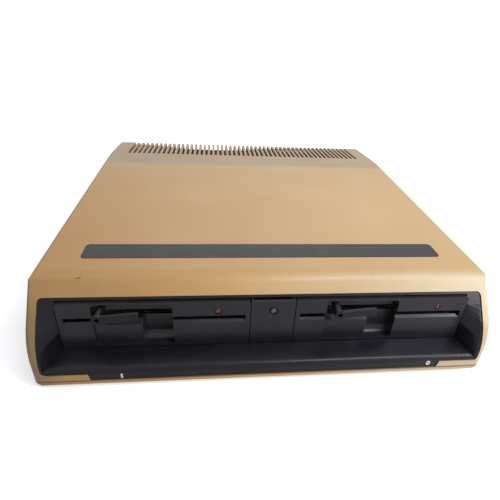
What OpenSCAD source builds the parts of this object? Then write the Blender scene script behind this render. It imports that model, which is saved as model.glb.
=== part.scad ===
// Low desktop case with two half-height disk drives side by side.
// X runs to the right seen from the front, Y to the rear, Z up. The origin lies on the
// surface that the feet stand on, under the middle of the case.

/* [Case] */
// Width of the case
case_w = 368; // [350:1:420]
// Depth from the front lip to the rear face
case_d = 406; // [390:1:460]
// Height of the case without its feet
case_h = 80; // [78:1:110]
// Thickness of the moulded walls
wall = 3; // [2:0.25:4]
// Radius of the outer vertical and side edges
corner_r = 8; // [5:0.5:12]
// Height of the base pan's rim under the seam
base_h = 6; // [5:0.5:8]
// Clear gap between moulded pieces
seam_gap = 0.3; // [0.2:0.05:0.5]
// Height of the rubber feet
foot_h = 4.5; // [3:0.5:8]
// Diameter of the rubber feet
foot_d = 18; // [12:1:24]

/* [Front] */
// Height of the drive bay's floor over the underside of the case
bay_rise = 20.5; // [19:0.5:26]
// Height of the drive bay
bay_h = 44; // [43:0.5:50]
// Setback of the drives behind the front lip
rake_d = 20; // [16:0.5:26]
// Lean of the raked front, in degrees from upright
rake_a = 38; // [30:1:42]
// Radius of the curve from the upright lip into the rake
rake_r = 50; // [35:1:60]
// Height at which the rake's curve starts, over the underside
rake_rise = 16.5; // [14:0.5:20]
// Radius of the nose between the rake and the top
nose_r = 16; // [8:0.5:20]
// Width of the front opening
opening_w = 353; // [344:0.5:358]
// Drop of the opening's sill below the bay's floor
sill_drop = 8.75; // [8:0.25:11]
// Rise of the opening's top edge over the bay's ceiling
brow_rise = 2.2; // [1.5:0.1:4]
// Width of the tab that hangs from the sill
tab_w = 286; // [240:1:320]

/* [Rear] */
// Length of the sloping rear part of the top
slope_l = 120.5; // [90:0.5:150]
// Drop of the top along that slope
slope_drop = 11; // [6:0.5:16]
// Number of vent slots
vent_count = 50; // [20:1:60]
// Spacing of the vent slots
vent_pitch = 6.6; // [5.5:0.1:7]
// Width of one vent slot
vent_w = 3.4; // [2:0.1:4.5]
// Length of the vent slots, up to the rear face
vent_l = 71; // [40:1:90]

/* [Name plate] */
// Width of the bare plate on the top
plate_w = 305; // [200:1:320]
// Depth of the plate
plate_d = 21.6; // [12:0.2:30]
// Thickness of the plate
plate_t = 0.8; // [0.6:0.1:1.5]
// Distance of the plate's front edge behind the drives' front plane
plate_back = 39; // [34:0.5:60]

/* [Drives] */
// Width of one drive's bezel
drive_w = 146; // [144:0.5:149]
// Length of one drive behind its front plane
drive_l = 200; // [196:1:206]
// Width of the panel between the drives
panel_w = 36; // [30:0.5:44]
// Thickness of the bezels
bezel_t = 5; // [4:0.25:6]
// Width of the disk slot
slot_w = 138; // [136:0.5:139]
// Height of the disk slot
slot_h = 5; // [4.8:0.1:6]
// Lower edge of the disk slot over the bay's floor
slot_z = 25.6; // [25:0.1:26]
// Turn of the lever from open to locked
lever_turn = 90; // [80:1:95]
// Reach of the lever's arm from its axis
lever_l = 30; // [26:0.5:33]
// Diameter of the lever's hub
lever_hub_d = 8; // [7:0.25:9]
// Distance of the lever's front face before the bezel
lever_out = 12; // [9:0.5:15]
// Travel of the heads over the tracks
head_travel = 19.3; // [15:0.1:20]
// Diameter of the stepper's capstan
capstan_d = 16.17; // [14:0.01:16.5]

/* [Hidden] */

// Smoothness of round pieces and of drawn arcs
$fn = 48;
arc_steps = 8;
// Overrun of every cut past the face it opens
over = 1;
// Free gaps: between moving pieces, in a running fit and round a fastener
free_gap = 0.3;
run_gap = 0.05;
screw_gap = 0.1;

// Colours
beige = [0.82, 0.72, 0.55];
dark_brown = [0.14, 0.12, 0.13];
plate_grey = [0.3, 0.29, 0.28];
cast_metal = [0.62, 0.63, 0.64];
sheet_metal = [0.72, 0.73, 0.72];
steel = [0.78, 0.79, 0.8];
board_green = [0.1, 0.34, 0.2];
black_part = [0.08, 0.08, 0.09];
copper_brown = [0.55, 0.3, 0.15];

// Levels and planes of the case
base_z = foot_h;
floor_z = base_z + wall;
seam_z = base_z + base_h;
top_z = base_z + case_h;
lip_y = -case_d / 2;
rear_y = case_d / 2;
bezel_y = lip_y + rake_d;
bay_z = base_z + bay_rise;
bay_w = 2 * drive_w + panel_w + 2 * seam_gap;
sill_z = bay_z - sill_drop;
brow_z = bay_z + bay_h + brow_rise;
drive_x = (drive_w + panel_w) / 2;
slope_y = rear_y - slope_l;
tail_z = top_z - slope_drop;

// Curves of the case's outline seen from the side, as [y, z]
under_r = 4;
side_under_r = 7;
tail_r = 3;
top_edge_r = corner_r * 0.75;
edge_ease = 0.55;
edge_fn = 32;
rake_c = [lip_y + rake_r, base_z + rake_rise];
rake_n = [-cos(rake_a), sin(rake_a)];
rake_p = rake_c + rake_r * rake_n;
nose_z = top_z - nose_r;
nose_y = (rake_n[1] * nose_z + nose_r - rake_n * rake_p) / cos(rake_a);
tail_a = atan2(slope_drop, slope_l);

// Bosses of the cover and posts of the base
boss_d = 9;
boss_in = 1;
post_h = 12;
boss_x = case_w / 2 - wall - boss_d / 2 + boss_in;
boss_front_in = 30;
boss_rear_in = 32;
boss_front_y = bezel_y + boss_front_in;
boss_rear_y = rear_y - boss_rear_in;
case_screw_d = 4;
case_head_d = 7.4;
case_head_h = 2.6;
case_screw_l = 26;
foot_side_in = 32;
foot_end_in = 34;
foot_x = case_w / 2 - foot_side_in;
foot_y = case_d / 2 - foot_end_in;
foot_stem_d = 6;
foot_barb = 1;
foot_barb_h = 2;

// Surround, funnel and centre panel
surround_set = 0.8;
tube_l = 14;
shell_t = 2.5;
sill_r = 5;
rim_land = 1.5;
flank_steps = 6;
tab_t = 3;
tab_slant = 2;
opening_r = 4;
panel_t = 3;
lamp_d = 5;
lamp_share = 0.77;
lamp_dish_d = 7.5;
lamp_dish_t = 1.2;
lamp_z = bay_z + bay_h * lamp_share;
lamp_l = 9;
lamp_flange = 1;

// Rear window and the panel behind it
window_w = 306;
window_h = 46;
panel_sheet = 1.5;
panel_lap = 3;
panel_deep = 11;
panel_y = rear_y - wall - seam_gap - panel_deep;
panel_low = floor_z;
panel_top = seam_z + window_h + panel_lap;
port_rise = 1;
port_z = seam_z + window_h / 2 + port_rise;

// Mains parts on the rear panel, with x places for each
inlet_x = -130;
inlet_w = 27;
inlet_h = 19.5;
inlet_deep = 24;
inlet_flange = 4;
pin_w = 2;
pin_h = 4;
pin_step = 7;
fuse_x = -88;
fuse_body_d = 13;
fuse_l = 34;
fuse_cap_h = 7;
fuse_d = 5;
fuse_len = 20;
fuse_bore_d = 9;
fuse_rim = 2;
fuse_flange_t = 2;
fuse_knob_d = 14;
fuse_plug_l = 8;
coin_slot_w = 1.6;
switch_x = -50;
switch_w = 13;
switch_h = 27;
switch_deep = 18;
switch_flange = 2;
rocker_w = 9;
rocker_h = 20;
rocker_pin_d = 2.4;
rocker_a = 8;
rocker_in = 2;
rocker_swing = 1;
rocker_root_h = 6;
rocker_bow = 5;
rocker_dip = 1;
port_x = 60;
port_w = 64;
port_h = 13;
port_deep = 16;
stud_d = 6;

// Main board with its parts
board_t = 1.6;
standoff_h = 6.5;
standoff_d = 7;
board_z = floor_z + standoff_h;
board_x0 = -82;
board_side_gap = 14;
board_front_gap = 8;
board_rear_gap = 4;
board_x1 = case_w / 2 - wall - board_side_gap;
board_y0 = bezel_y + drive_l + board_front_gap;
board_y1 = panel_y - board_rear_gap;
board_inset = 6;
chip_h = 4;
chip_seat = 0.4;
chip_long = 52;
chip_wide = 14;
chip_lead_in = 1;
reg_w = 10;
reg_t = 4.4;
reg_h = 16;
reg_lead_w = 8;
reg_lead_t = 0.8;
reg_lead_l = 6;
cap_d = 25;
cap_h = 40;
sink_w = 70;
sink_h = 32;
sink_t = 3;
fin_t = 1.5;
fin_l = 12;
fin_count = 9;
sink_side_gap = 4;
sink_rear_gap = 14;
sink_x = board_x0 + sink_w / 2 + sink_side_gap;
sink_y = board_y1 - fin_l - sink_t - sink_rear_gap;
cap_gap = 6;
cap_back = 12;
cap_rim = 1.5;
iron_w = 66;
iron_d = 26;
iron_h = 52;
coil_w = 42;
coil_d = 46;
coil_h = 36;
iron_rear_in = 100;
iron_x = -(case_w / 2 - wall - board_side_gap - iron_w / 2);
iron_y = rear_y - iron_rear_in;
strap_t = 2;
strap_w = 84;
m3_d = 3;
m3_head_d = 5.6;
m3_head_h = 2;

// Drive chassis, in the drive's own frame: x from its middle, y from the bezel's front
// face, z from the bay's floor
bezel_h = 42.5;
bezel_gap = (bay_h - bezel_h) / 2;
bezel_r = 1;
side_gap = 0.25;
chassis_in = 1;
chassis_w = drive_w - 2 * chassis_in;
side_t = 2;
side_low = 2;
side_top = 40;
web_z = 11;
web_t = 2.6;
web_top = web_z + web_t;
ledge_w = 3.5;
ledge_t = 1.8;
ledge_end = 8;
web_front_gap = 2;
rail_cap = 1;
disk_w = 133.4;

// Finger recess of the bezel and the block in it
recess_x0 = -47.3;
recess_x1 = 12.6;
recess_z0 = 2.8;
recess_rim = 1;
recess_z1 = bay_h - bezel_gap - recess_rim;
recess_r = 3;
recess_deep = 10;
recess_wall = 2;
block_x1 = -11;
block_set = 1.8;
block_drop = 4;
block_lip = 1;
scoop_r = 7;
lip_drop = 2;
led_x = 47.2;
led_z = 34.6;

// Lever and its shaft
hub_x = -40.3;
hub_z = 38;
hub_eye_d = 3.6;
hub_eye_deep = 4;
neck_d = 6.4;
arm_deep = 3;
shaft_d = 4.4;
cam_w = 4;
bridge_t = 1.5;
lug_w = 7.4;
lug_wall = 1.15;
bridge_front = 10;
bridge_back = 2.1;

// Spindle with its motor
spindle_y = 78;
spindle_d = 6;
hub_d = 36;
hub_t = 3.6;
hub_mouth_d = 28.8;
hub_bore_deep = 2.2;
hub_taper = 1;
hub_gap = 0.5;
rotor_d = 84;
rotor_t = 4;
rotor_gap = 0.4;
rotor_rim = 5;
motor_pcb_z = 2.4;
motor_pcb_w = 100;
coil_pad_d = 20;
coil_pad_h = 0.6;
rotor_z = motor_pcb_z + board_t + coil_pad_h + rotor_gap;
housing_d = 22;
bearing_d = 16;
bearing_h = 5;
housing_gap = 0.6;
housing_z0 = rotor_z + rotor_t + housing_gap;
housing_z1 = slot_z - hub_t - hub_gap;
bearing_in = 0.2;
pcb_post_in = 4;
pcb_post_d = 7;
pcb_screw_d = 2.4;
pcb_head_d = 4.6;
pcb_head_h = 1.4;

// Clamp arm, drawn with the lever locked and lifted by the cam's travel when open
hinge_y = 148;
hinge_d = 4;
leg_x0 = 30;
leg_x1 = 46;
leg_t = 1.5;
leg_rise = 3.1;
leg_z = slot_z + leg_rise;
leg_y0 = 104;
arm_plate_y0 = 62;
arm_plate_y1 = 112;
arm_web_y0 = 96;
arm_plate_rise = 5.8;
arm_plate_z = slot_z + arm_plate_rise;
arm_notch_w = 26;
arm_notch_y0 = 99;
cam_y = 106;
cam_lift = 4.2;
cam_r1 = hub_z - (leg_z + leg_t) - free_gap;
cam_r0 = cam_r1 - cam_lift;
cam_steps = 24;
clamp_a = atan2(cam_lift, hinge_y - cam_y);
cone_flange_d = 34;
cone_flange_t = 1.4;
cone_d = 28;
cone_tip_d = 26.6;
cone_h = 2.7;
cone_rise = 2;
cone_z = slot_z + cone_rise;
cone_pin_d = 5;

// Head carriage, with the heads at the outer track
inner_track = 35;
head_y = spindle_y + inner_track + head_travel;
rail_x = 22;
rail_z = 19;
rail_d = 5;
rail_block_w = 9;
rail_block_t = 4;
rail_start = 21;
rail_y0 = spindle_y + rail_start;
rail_y1 = 181;
carriage_w = 58;
carriage_gap = 1.4;
head_rise = 2.1;
carriage_z0 = web_top + carriage_gap;
carriage_z1 = slot_z - head_rise;
carriage_front = 9;
carriage_rear = 40;
head_d = 8;
head_gap = 0.1;
pad_t = 0.6;
arm_nose = 6;
ear_in = 3;
tower_y = 33;
tower_w = 24;
tower_gap = 17.6;
pivot_rise = 7.6;
head_pivot_z = slot_z + pivot_rise;
head_pivot_d = 3;
head_arm_t = 3.5;
head_arm_w = 17;
head_arm_a = 7;

// Stepper, capstan and band
stepper_y = 162;
stepper_z = 16.4;
stepper_d = 25;
stepper_l = 20;
stepper_x = 44.4;
stepper_flange_t = 1.6;
stepper_trim = 1;
stepper_top = stepper_z + stepper_d / 2 - stepper_trim;
stepper_cap_t = 2;
stepper_boss_d = 10;
motor_room = 2;
capstan_room = 1;
upright_t = 2;
upright_w = 22;
capstan_x0 = 33.4;
capstan_w = 4.2;
capstan_end = 3;
band_t = 0.3;
band_gap = 0.2;
bar_x0 = carriage_w / 2;
bar_t = 3;
band_front = 18;
band_rear = 60;
band_bar_in = 4;
band_pad_rise = 3.5;
band_pad_t = 3;
band_z = stepper_z + capstan_d / 2 + band_gap;

// Logic board on top of the chassis
logic_y0 = 114;
logic_rear_gap = 4;
logic_y1 = drive_l - logic_rear_gap;
logic_chip_d = 8;
header_w = 44;
header_d = 8;
header_h = 6;
ribbon_t = 1.2;
ribbon_r = 8;
ribbon_reach = 28;

ribbon_x = drive_x - drive_w / 4;
ribbon_y = bezel_y + logic_y1 - header_d + ribbon_reach + ribbon_r - ribbon_t / 2;

// Brackets that carry the drives, and the screw holes that they share with the chassis
bracket_t = 1.5;
bracket_h = 34;
bracket_front = 24;
bracket_rear = 180;
bracket_y0 = bezel_y + bracket_front;
bracket_y1 = bezel_y + bracket_rear;
bracket_foot = 7;
front_hole_y = 48;
rear_hole_y = 128;
drive_hole_y = [front_hole_y, rear_hole_y];
drive_hole_z = 18.4;
screw_end = 1;

left = -1;
right = 1;

// Points of an arc about c from angle a0 to a1
function arc(c, r, a0, a1) = [
    for (i = [0:arc_steps]) c + r * [cos(a0 + (a1 - a0) * i / arc_steps), sin(a0 + (a1 - a0) * i / arc_steps)]
];

// Point of the cam's flank that touches the arm after a turn of a degrees
function cam_point(a) = (cam_r0 + cam_lift * a / lever_turn) * [sin(a), -cos(a)]
    + cam_lift / (lever_turn * PI / 180) * [cos(a), sin(a)];

// Point of the curved front, as [y, z], whose plane leans back by a degrees; drawn in by an inset
function front_point(a, inset = 0) = a < 0
    ? [lip_y + under_r, base_z + under_r] + (under_r - inset) * [-cos(a), sin(a)]
    : rake_c + (rake_r - inset) * [-cos(a), sin(a)];
front_angles = concat([-60, -30], [for (i = [1:4]) rake_a * i / 4]);

// Whole outline of the case seen from the side
side_outline = concat(
    arc([lip_y + under_r, base_z + under_r], under_r, 270, 180),
    arc(rake_c, rake_r, 180, 180 - rake_a),
    arc([nose_y, nose_z], nose_r, 180 - rake_a, 90),
    [[slope_y, top_z]],
    arc([rear_y - tail_r, tail_z - tail_r], tail_r, 90 - tail_a, 0),
    arc([rear_y - under_r, base_z + under_r], under_r, 0, -90)
);

// Extrusions along each axis: a drawing in [y, z], [x, z] or [x, y]
module extrude_x(x0, x1) {
    translate([x0, 0, 0]) rotate([90, 0, 90]) linear_extrude(x1 - x0) children();
}

module extrude_y(y0, y1) {
    translate([0, y1, 0]) rotate([90, 0, 0]) linear_extrude(y1 - y0) children();
}

module extrude_z(z0, z1) {
    translate([0, 0, z0]) linear_extrude(z1 - z0) children();
}

// A block between two corners, and a rectangle between two corners
module block(p0, p1) {
    translate(p0) cube(p1 - p0);
}

module rect(p0, p1) {
    translate(p0) square(p1 - p0);
}

module round_rect(p0, p1, r) {
    offset(r = r) rect(p0 + [r, r], p1 - [r, r]);
}

// Round bars along each axis, from one end to the other
module bar_x(x0, x1, y, z, d) {
    translate([x0, y, z]) rotate([0, 90, 0]) cylinder(d = d, h = x1 - x0);
}

module bar_y(x, y0, y1, z, d) {
    translate([x, y1, z]) rotate([90, 0, 0]) cylinder(d = d, h = y1 - y0);
}

module bar_z(x, y, z0, z1, d) {
    translate([x, y, z0]) cylinder(d = d, h = z1 - z0);
}

module mirrored_x() {
    children();
    mirror([1, 0, 0]) children();
}

// Rounded side edges along the curved front, as one prism for each plane that touches it
module front_prisms(inset) {
    intersection_for(a = front_angles) {
        p = front_point(a);
        r = corner_r * (1 - edge_ease * max(a, 0) / rake_a);
        translate([0, p[0], p[1]]) rotate([-a, 0, 0])
            extrude_z(-case_d, case_d)
                round_rect([-case_w / 2 + inset, inset], [case_w / 2 - inset, 2 * case_d], max(r - inset, seam_gap), $fn = edge_fn);
    }
}

// The case as one closed body, drawn in by an inset
module envelope(inset) {
    intersection() {
        extrude_x(-case_w / 2 + inset, case_w / 2 - inset)
            offset(delta = -inset) polygon(side_outline);
        extrude_y(lip_y, rear_y)
            offset(delta = -inset) front_outline();
        extrude_z(base_z, top_z)
            round_rect([-case_w / 2 + inset, lip_y + inset], [case_w / 2 - inset, rear_y - inset], corner_r - inset);
        front_prisms(inset);
    }
}

module front_outline() {
    half = case_w / 2;
    polygon(concat(
        arc([half - side_under_r, base_z + side_under_r], side_under_r, 270, 360),
        arc([half - top_edge_r, top_z - top_edge_r], top_edge_r, 0, 90),
        arc([-half + top_edge_r, top_z - top_edge_r], top_edge_r, 90, 180),
        arc([-half + side_under_r, base_z + side_under_r], side_under_r, 180, 270)
    ));
}

module at_bosses() {
    for (x = [-boss_x, boss_x]) {
        for (y = [boss_front_y, boss_rear_y]) {
            translate([x, y, 0]) children();
        }
    }
}

// Beige upper shell
module top_cover() {
    color(beige) difference() {
        union() {
            difference() {
                envelope(0);
                envelope(wall);
            }
            intersection() {
                envelope(wall / 2);
                at_bosses() cylinder(d = boss_d, h = top_z);
            }
        }
        block([-case_w, -case_d, -over], [case_w, case_d, seam_z]);
        at_bosses() cylinder(d = boss_d + 2 * seam_gap, h = floor_z + post_h + seam_gap);
        at_bosses() cylinder(d = case_screw_d + 2 * screw_gap, h = floor_z + post_h + case_screw_l);
        front_opening();
        tab_notch();
        vent_slots();
        rear_window();
        plate_recess();
    }
}

module front_opening() {
    extrude_y(lip_y - over, bezel_y + tube_l + over)
        round_rect([-opening_w / 2, sill_z], [opening_w / 2, brow_z], opening_r);
}

module tab_outline(gap) {
    top = tab_w / 2 + gap;
    foot = top - tab_slant;
    polygon([[-foot, seam_z - over], [foot, seam_z - over], [top, sill_z + over], [-top, sill_z + over]]);
}

module tab_notch() {
    extrude_y(lip_y - over, bezel_y) tab_outline(0);
}

module vent_slots() {
    for (i = [0:vent_count - 1]) {
        x = (i - (vent_count - 1) / 2) * vent_pitch;
        block([x - vent_w / 2, rear_y - vent_l, tail_z - 3 * wall], [x + vent_w / 2, rear_y + over, top_z + over]);
    }
}

module rear_window() {
    extrude_y(rear_y - 2 * wall, rear_y + over)
        rect([-window_w / 2, seam_z - over], [window_w / 2, seam_z + window_h]);
}

module plate_recess() {
    plate_shape(seam_gap / 2, top_z - plate_t / 2, top_z + over);
}

module plate_shape(gap, z0, z1) {
    y0 = bezel_y + plate_back;
    r = plate_d / 6;
    extrude_z(z0, z1)
        round_rect([-plate_w / 2 - gap, y0 - gap], [plate_w / 2 + gap, y0 + plate_d + gap], r);
}

// Bare dark plate let into the top
module name_plate() {
    color(plate_grey) plate_shape(0, top_z - plate_t / 2, top_z + plate_t / 2);
}

// Beige lower tray with its posts
module base_pan() {
    color(beige) difference() {
        union() {
            difference() {
                envelope(0);
                envelope(wall);
                block([-case_w, -case_d, seam_z - seam_gap], [case_w, case_d, top_z + over]);
            }
            at_bosses() translate([0, 0, base_z + wall / 2]) cylinder(d = boss_d, h = post_h + wall / 2);
        }
        at_bosses() cylinder(d = case_screw_d + 4 * screw_gap, h = top_z);
        at_bosses() translate([0, 0, -over]) cylinder(d = case_head_d + 4 * screw_gap, h = base_z + wall + over);
        at_feet() cylinder(d = foot_stem_d + 2 * screw_gap, h = floor_z + over);
    }
}

module at_feet() {
    for (x = [-foot_x, foot_x]) {
        for (y = [-foot_y, foot_y]) {
            translate([x, y, 0]) children();
        }
    }
}

// Feet with a stem through the floor and a barb above it
module rubber_feet() {
    color(black_part) at_feet() {
        cylinder(d = foot_d, h = foot_h);
        cylinder(d = foot_stem_d, h = floor_z + run_gap);
        translate([0, 0, floor_z + run_gap]) cylinder(d1 = foot_stem_d + 2 * foot_barb, d2 = foot_stem_d - 2 * foot_barb, h = foot_barb_h);
    }
}

module case_screws() {
    shoulder = base_z + wall;
    color(steel) at_bosses() {
        translate([0, 0, shoulder - case_head_h]) cylinder(d = case_head_d, h = case_head_h);
        translate([0, 0, shoulder]) cylinder(d = case_screw_d, h = case_screw_l);
    }
}

// Dark frame round the drive bay, with its sill and the tab below it
module front_surround() {
    half = opening_w / 2 - seam_gap;
    color(dark_brown) difference() {
        intersection() {
            union() {
                extrude_y(lip_y, bezel_y + tube_l)
                    round_rect([-half, sill_z + seam_gap], [half, brow_z - seam_gap], opening_r);
                extrude_y(lip_y, lip_y + surround_set + tab_t) intersection() {
                    tab_outline(-seam_gap);
                    rect([-tab_w, seam_z], [tab_w, sill_z + over]);
                }
            }
            extrude_x(-case_w / 2, case_w / 2) offset(delta = -surround_set) polygon(side_outline);
        }
        funnel();
        extrude_y(lip_y, rear_y) rect([-bay_w / 2, bay_z], [bay_w / 2, bay_z + bay_h]);
        mirrored_x() surround_core();
    }
}

// Open space between the opening's edge and the bay: flanks that run straight from the
// curved rim to the upright corner beside the drives
module funnel() {
    mouth = opening_w / 2 - seam_gap - rim_land;
    back = bay_w / 2;
    open_y = lip_y - rake_d;
    bend = front_point(rake_a, surround_set);
    rim_run = bezel_y - seam_gap - bend[0];
    rim = concat(
        [[lip_y + surround_set, seam_z - over]],
        [for (i = [0:flank_steps]) front_point(rake_a * i / flank_steps, surround_set)],
        [for (share = [1 / 3, 2 / 3, 1]) bend + share * rim_run * [1, 1 / tan(rake_a)]]
    );
    sill_c = [lip_y + surround_set + sill_r, sill_z + seam_gap];
    to_bay = [bezel_y, bay_z] - sill_c;
    sill_end = atan2(to_bay[1], to_bay[0]) + acos(sill_r / norm(to_bay));
    intersection() {
        polyhedron([for (p = rim) each [
            [-mouth, open_y, p[1]], [mouth, open_y, p[1]], [mouth, p[0], p[1]],
            [back, bezel_y, p[1]], [-back, bezel_y, p[1]], [-mouth, p[0], p[1]]
        ]], ring_faces(6, len(rim)));
        extrude_x(-case_w, case_w) polygon(concat(
            arc(sill_c, sill_r, 180, sill_end),
            [[bezel_y, bay_z], [bezel_y + over, bay_z], [bezel_y + over, top_z], [open_y, top_z], [open_y, sill_c[1]]]
        ));
    }
}

// Faces of a body made of rings of n points, one above the other
function ring_faces(n, rings) = concat(
    [[for (j = [0:n - 1]) j], [for (j = [n - 1:-1:0]) n * (rings - 1) + j]],
    [for (i = [0:rings - 2], j = [0:n - 1]) each let(
        a = n * i + j, b = n * i + (j + 1) % n, c = b + n, d = a + n
    ) j < n / 2 ? [[a, d, c], [a, c, b]] : [[a, d, b], [d, c, b]]]
);

// Hollow behind each flank
module surround_core() {
    intersection() {
        block(
            [bay_w / 2 + shell_t, bezel_y + shell_t, sill_z + shell_t + seam_gap],
            [opening_w / 2 - seam_gap - shell_t, bezel_y + tube_l + over, brow_z - seam_gap - shell_t]
        );
        extrude_x(0, case_w / 2) offset(delta = -surround_set - shell_t) polygon(side_outline);
    }
}

// Filler between the drives, with the hole of the lamp
module centre_panel() {
    half = panel_w / 2 - side_gap;
    color(dark_brown) difference() {
        union() {
            block([-half, bezel_y, bay_z + seam_gap], [half, bezel_y + panel_t, bay_z + bay_h - seam_gap]);
            for (x = [-half, half - panel_t]) {
                block([x, bezel_y, bay_z + seam_gap], [x + panel_t, bezel_y + tube_l, bay_z + bay_h - seam_gap]);
            }
        }
        bar_y(0, bezel_y - over, bezel_y + tube_l, lamp_z, lamp_d + 2 * screw_gap);
        bar_y(0, bezel_y - over, bezel_y + lamp_dish_t, lamp_z, lamp_dish_d);
    }
}

module power_lamp() {
    color([0.75, 0.76, 0.74]) {
        bar_y(0, bezel_y - lamp_flange / 2, bezel_y + lamp_l, lamp_z, lamp_d);
        bar_y(0, bezel_y + panel_t, bezel_y + panel_t + lamp_flange, lamp_z, lamp_d + 2 * lamp_flange);
    }
}

// Sheet pan that closes the rear window and carries the sockets
module rear_panel() {
    half = window_w / 2 + panel_lap;
    deep = panel_sheet;
    color(sheet_metal) difference() {
        block([-half, panel_y, panel_low], [half, panel_y + panel_deep, panel_top]);
        block(
            [-half + deep, panel_y + deep, panel_low + deep],
            [half - deep, rear_y + over, panel_top - deep]
        );
        block(
            [-half - over, rear_y - under_r, panel_low - over],
            [half + over, rear_y, panel_low + under_r - wall + seam_gap]
        );
        port_cut(inlet_x, inlet_w, inlet_h);
        port_cut(switch_x, switch_w, switch_h);
        port_cut(port_x, port_w, port_h);
        bar_y(fuse_x, panel_y - over, panel_y + deep + over, port_z, fuse_body_d + 2 * screw_gap);
    }
}

module port_cut(x, w, h) {
    g = screw_gap;
    block([x - w / 2 - g, panel_y - over, port_z - h / 2 - g], [x + w / 2 + g, panel_y + panel_sheet + over, port_z + h / 2 + g]);
}

// A box through the rear panel with a flange outside
module port_box(x, w, h, deep, side_lap, top_lap, flange_t) {
    face = panel_y + panel_sheet;
    block([x - w / 2, face - deep, port_z - h / 2], [x + w / 2, face, port_z + h / 2]);
    block(
        [x - w / 2 - side_lap, face, port_z - h / 2 - top_lap],
        [x + w / 2 + side_lap, face + flange_t, port_z + h / 2 + top_lap]
    );
}

// Appliance inlet with its three blades
module mains_inlet() {
    face = panel_y + panel_sheet;
    flange_t = 3;
    shell = 2;
    color(black_part) {
        difference() {
            port_box(inlet_x, inlet_w, inlet_h, inlet_deep, inlet_flange, inlet_flange / 2, flange_t);
            block(
                [inlet_x - inlet_w / 2 + shell, face - inlet_deep + 2 * shell, port_z - inlet_h / 2 + shell],
                [inlet_x + inlet_w / 2 - shell, face + flange_t + over, port_z + inlet_h / 2 - shell]
            );
        }
        for (i = [-1:1]) {
            x = inlet_x + i * pin_step;
            lift = i == 0 ? pin_h / 2 : -pin_h / 2;
            block(
                [x - pin_w / 2, face - inlet_deep + shell, port_z + lift - pin_h / 2],
                [x + pin_w / 2, face - shell, port_z + lift + pin_h / 2]
            );
        }
    }
}

module fuse_holder() {
    face = panel_y + panel_sheet;
    color(black_part) difference() {
        union() {
            bar_y(fuse_x, face - fuse_l, face + over, port_z, fuse_body_d);
            bar_y(fuse_x, face, face + fuse_flange_t, port_z, fuse_body_d + 2 * fuse_rim);
        }
        bar_y(fuse_x, face - fuse_l + fuse_flange_t, face + fuse_flange_t + over, port_z, fuse_bore_d);
    }
}

// Turning cap with a coin slot
module fuse_cap() {
    face = panel_y + panel_sheet + fuse_flange_t + free_gap;
    color(black_part) difference() {
        union() {
            bar_y(fuse_x, face, face + fuse_cap_h, port_z, fuse_knob_d);
            bar_y(fuse_x, face - fuse_plug_l, face + over, port_z, fuse_bore_d - 2 * run_gap);
        }
        block(
            [fuse_x - fuse_knob_d / 3, face + fuse_cap_h - coin_slot_w, port_z - coin_slot_w / 2],
            [fuse_x + fuse_knob_d / 3, face + fuse_cap_h + over, port_z + coin_slot_w / 2]
        );
    }
}

// Glass fuse between the bottom of the holder and the cap
module mains_fuse() {
    back = panel_y + panel_sheet - fuse_l + fuse_flange_t + free_gap;
    color(steel) bar_y(fuse_x, back, back + fuse_len, port_z, fuse_d);
}

module power_switch() {
    face = panel_y + panel_sheet;
    color(black_part) difference() {
        port_box(switch_x, switch_w, switch_h, switch_deep, switch_flange, switch_flange / 2, switch_flange);
        block(
            [switch_x - rocker_w / 2 - free_gap, face - switch_deep / 2, port_z - rocker_h / 2 - rocker_swing],
            [switch_x + rocker_w / 2 + free_gap, face + switch_flange + over, port_z + rocker_h / 2 + rocker_swing]
        );
        bar_x(
            switch_x - switch_w / 2 + over, switch_x + switch_w / 2 - over,
            face - rocker_in, port_z, rocker_pin_d + 2 * run_gap
        );
    }
}

// Rocker, tipped to the off side
module switch_rocker() {
    pin_y = panel_y + panel_sheet - rocker_in;
    half = rocker_h / 2 - rocker_swing;
    color([0.25, 0.25, 0.27]) translate([switch_x, pin_y, port_z]) rotate([-rocker_a, 0, 0]) {
        extrude_x(-rocker_w / 2, rocker_w / 2) polygon([
            [-rocker_in, -rocker_root_h / 2], [0, -half], [rocker_bow, -half], [rocker_bow - rocker_dip, 0],
            [rocker_bow, half], [0, half], [-rocker_in, rocker_root_h / 2]
        ]);
        bar_x(-switch_w / 2 + over + free_gap, switch_w / 2 - over - free_gap, 0, 0, rocker_pin_d);
    }
}

// Ribbon contact socket with its two lock studs
module data_connector() {
    face = panel_y + panel_sheet;
    mouth_t = 2;
    stud_reach = 18;
    color(steel) {
        difference() {
            port_box(port_x, port_w, port_h, port_deep, stud_reach, mouth_t, mouth_t);
            block(
                [port_x - port_w / 2 + mouth_t, face - port_deep / 2, port_z - port_h / 2 + mouth_t],
                [port_x + port_w / 2 - mouth_t, face + mouth_t + over, port_z + port_h / 2 - mouth_t]
            );
        }
        block(
            [port_x - port_w / 2 + 3 * mouth_t, face - port_deep / 2 - over, port_z - mouth_t / 2],
            [port_x + port_w / 2 - 3 * mouth_t, face + mouth_t / 2, port_z + mouth_t / 2]
        );
        for (side = [left, right]) {
            bar_y(port_x + side * (port_w / 2 + stud_reach / 2), face + mouth_t, face + 3 * mouth_t, port_z, stud_d);
        }
    }
}

module at_board_corners() {
    xs = [board_x0 + board_inset, 0, board_x1 - board_inset];
    for (x = xs) {
        for (y = [board_y0 + board_inset, board_y1 - board_inset]) {
            translate([x, y, 0]) children();
        }
    }
}

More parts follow.
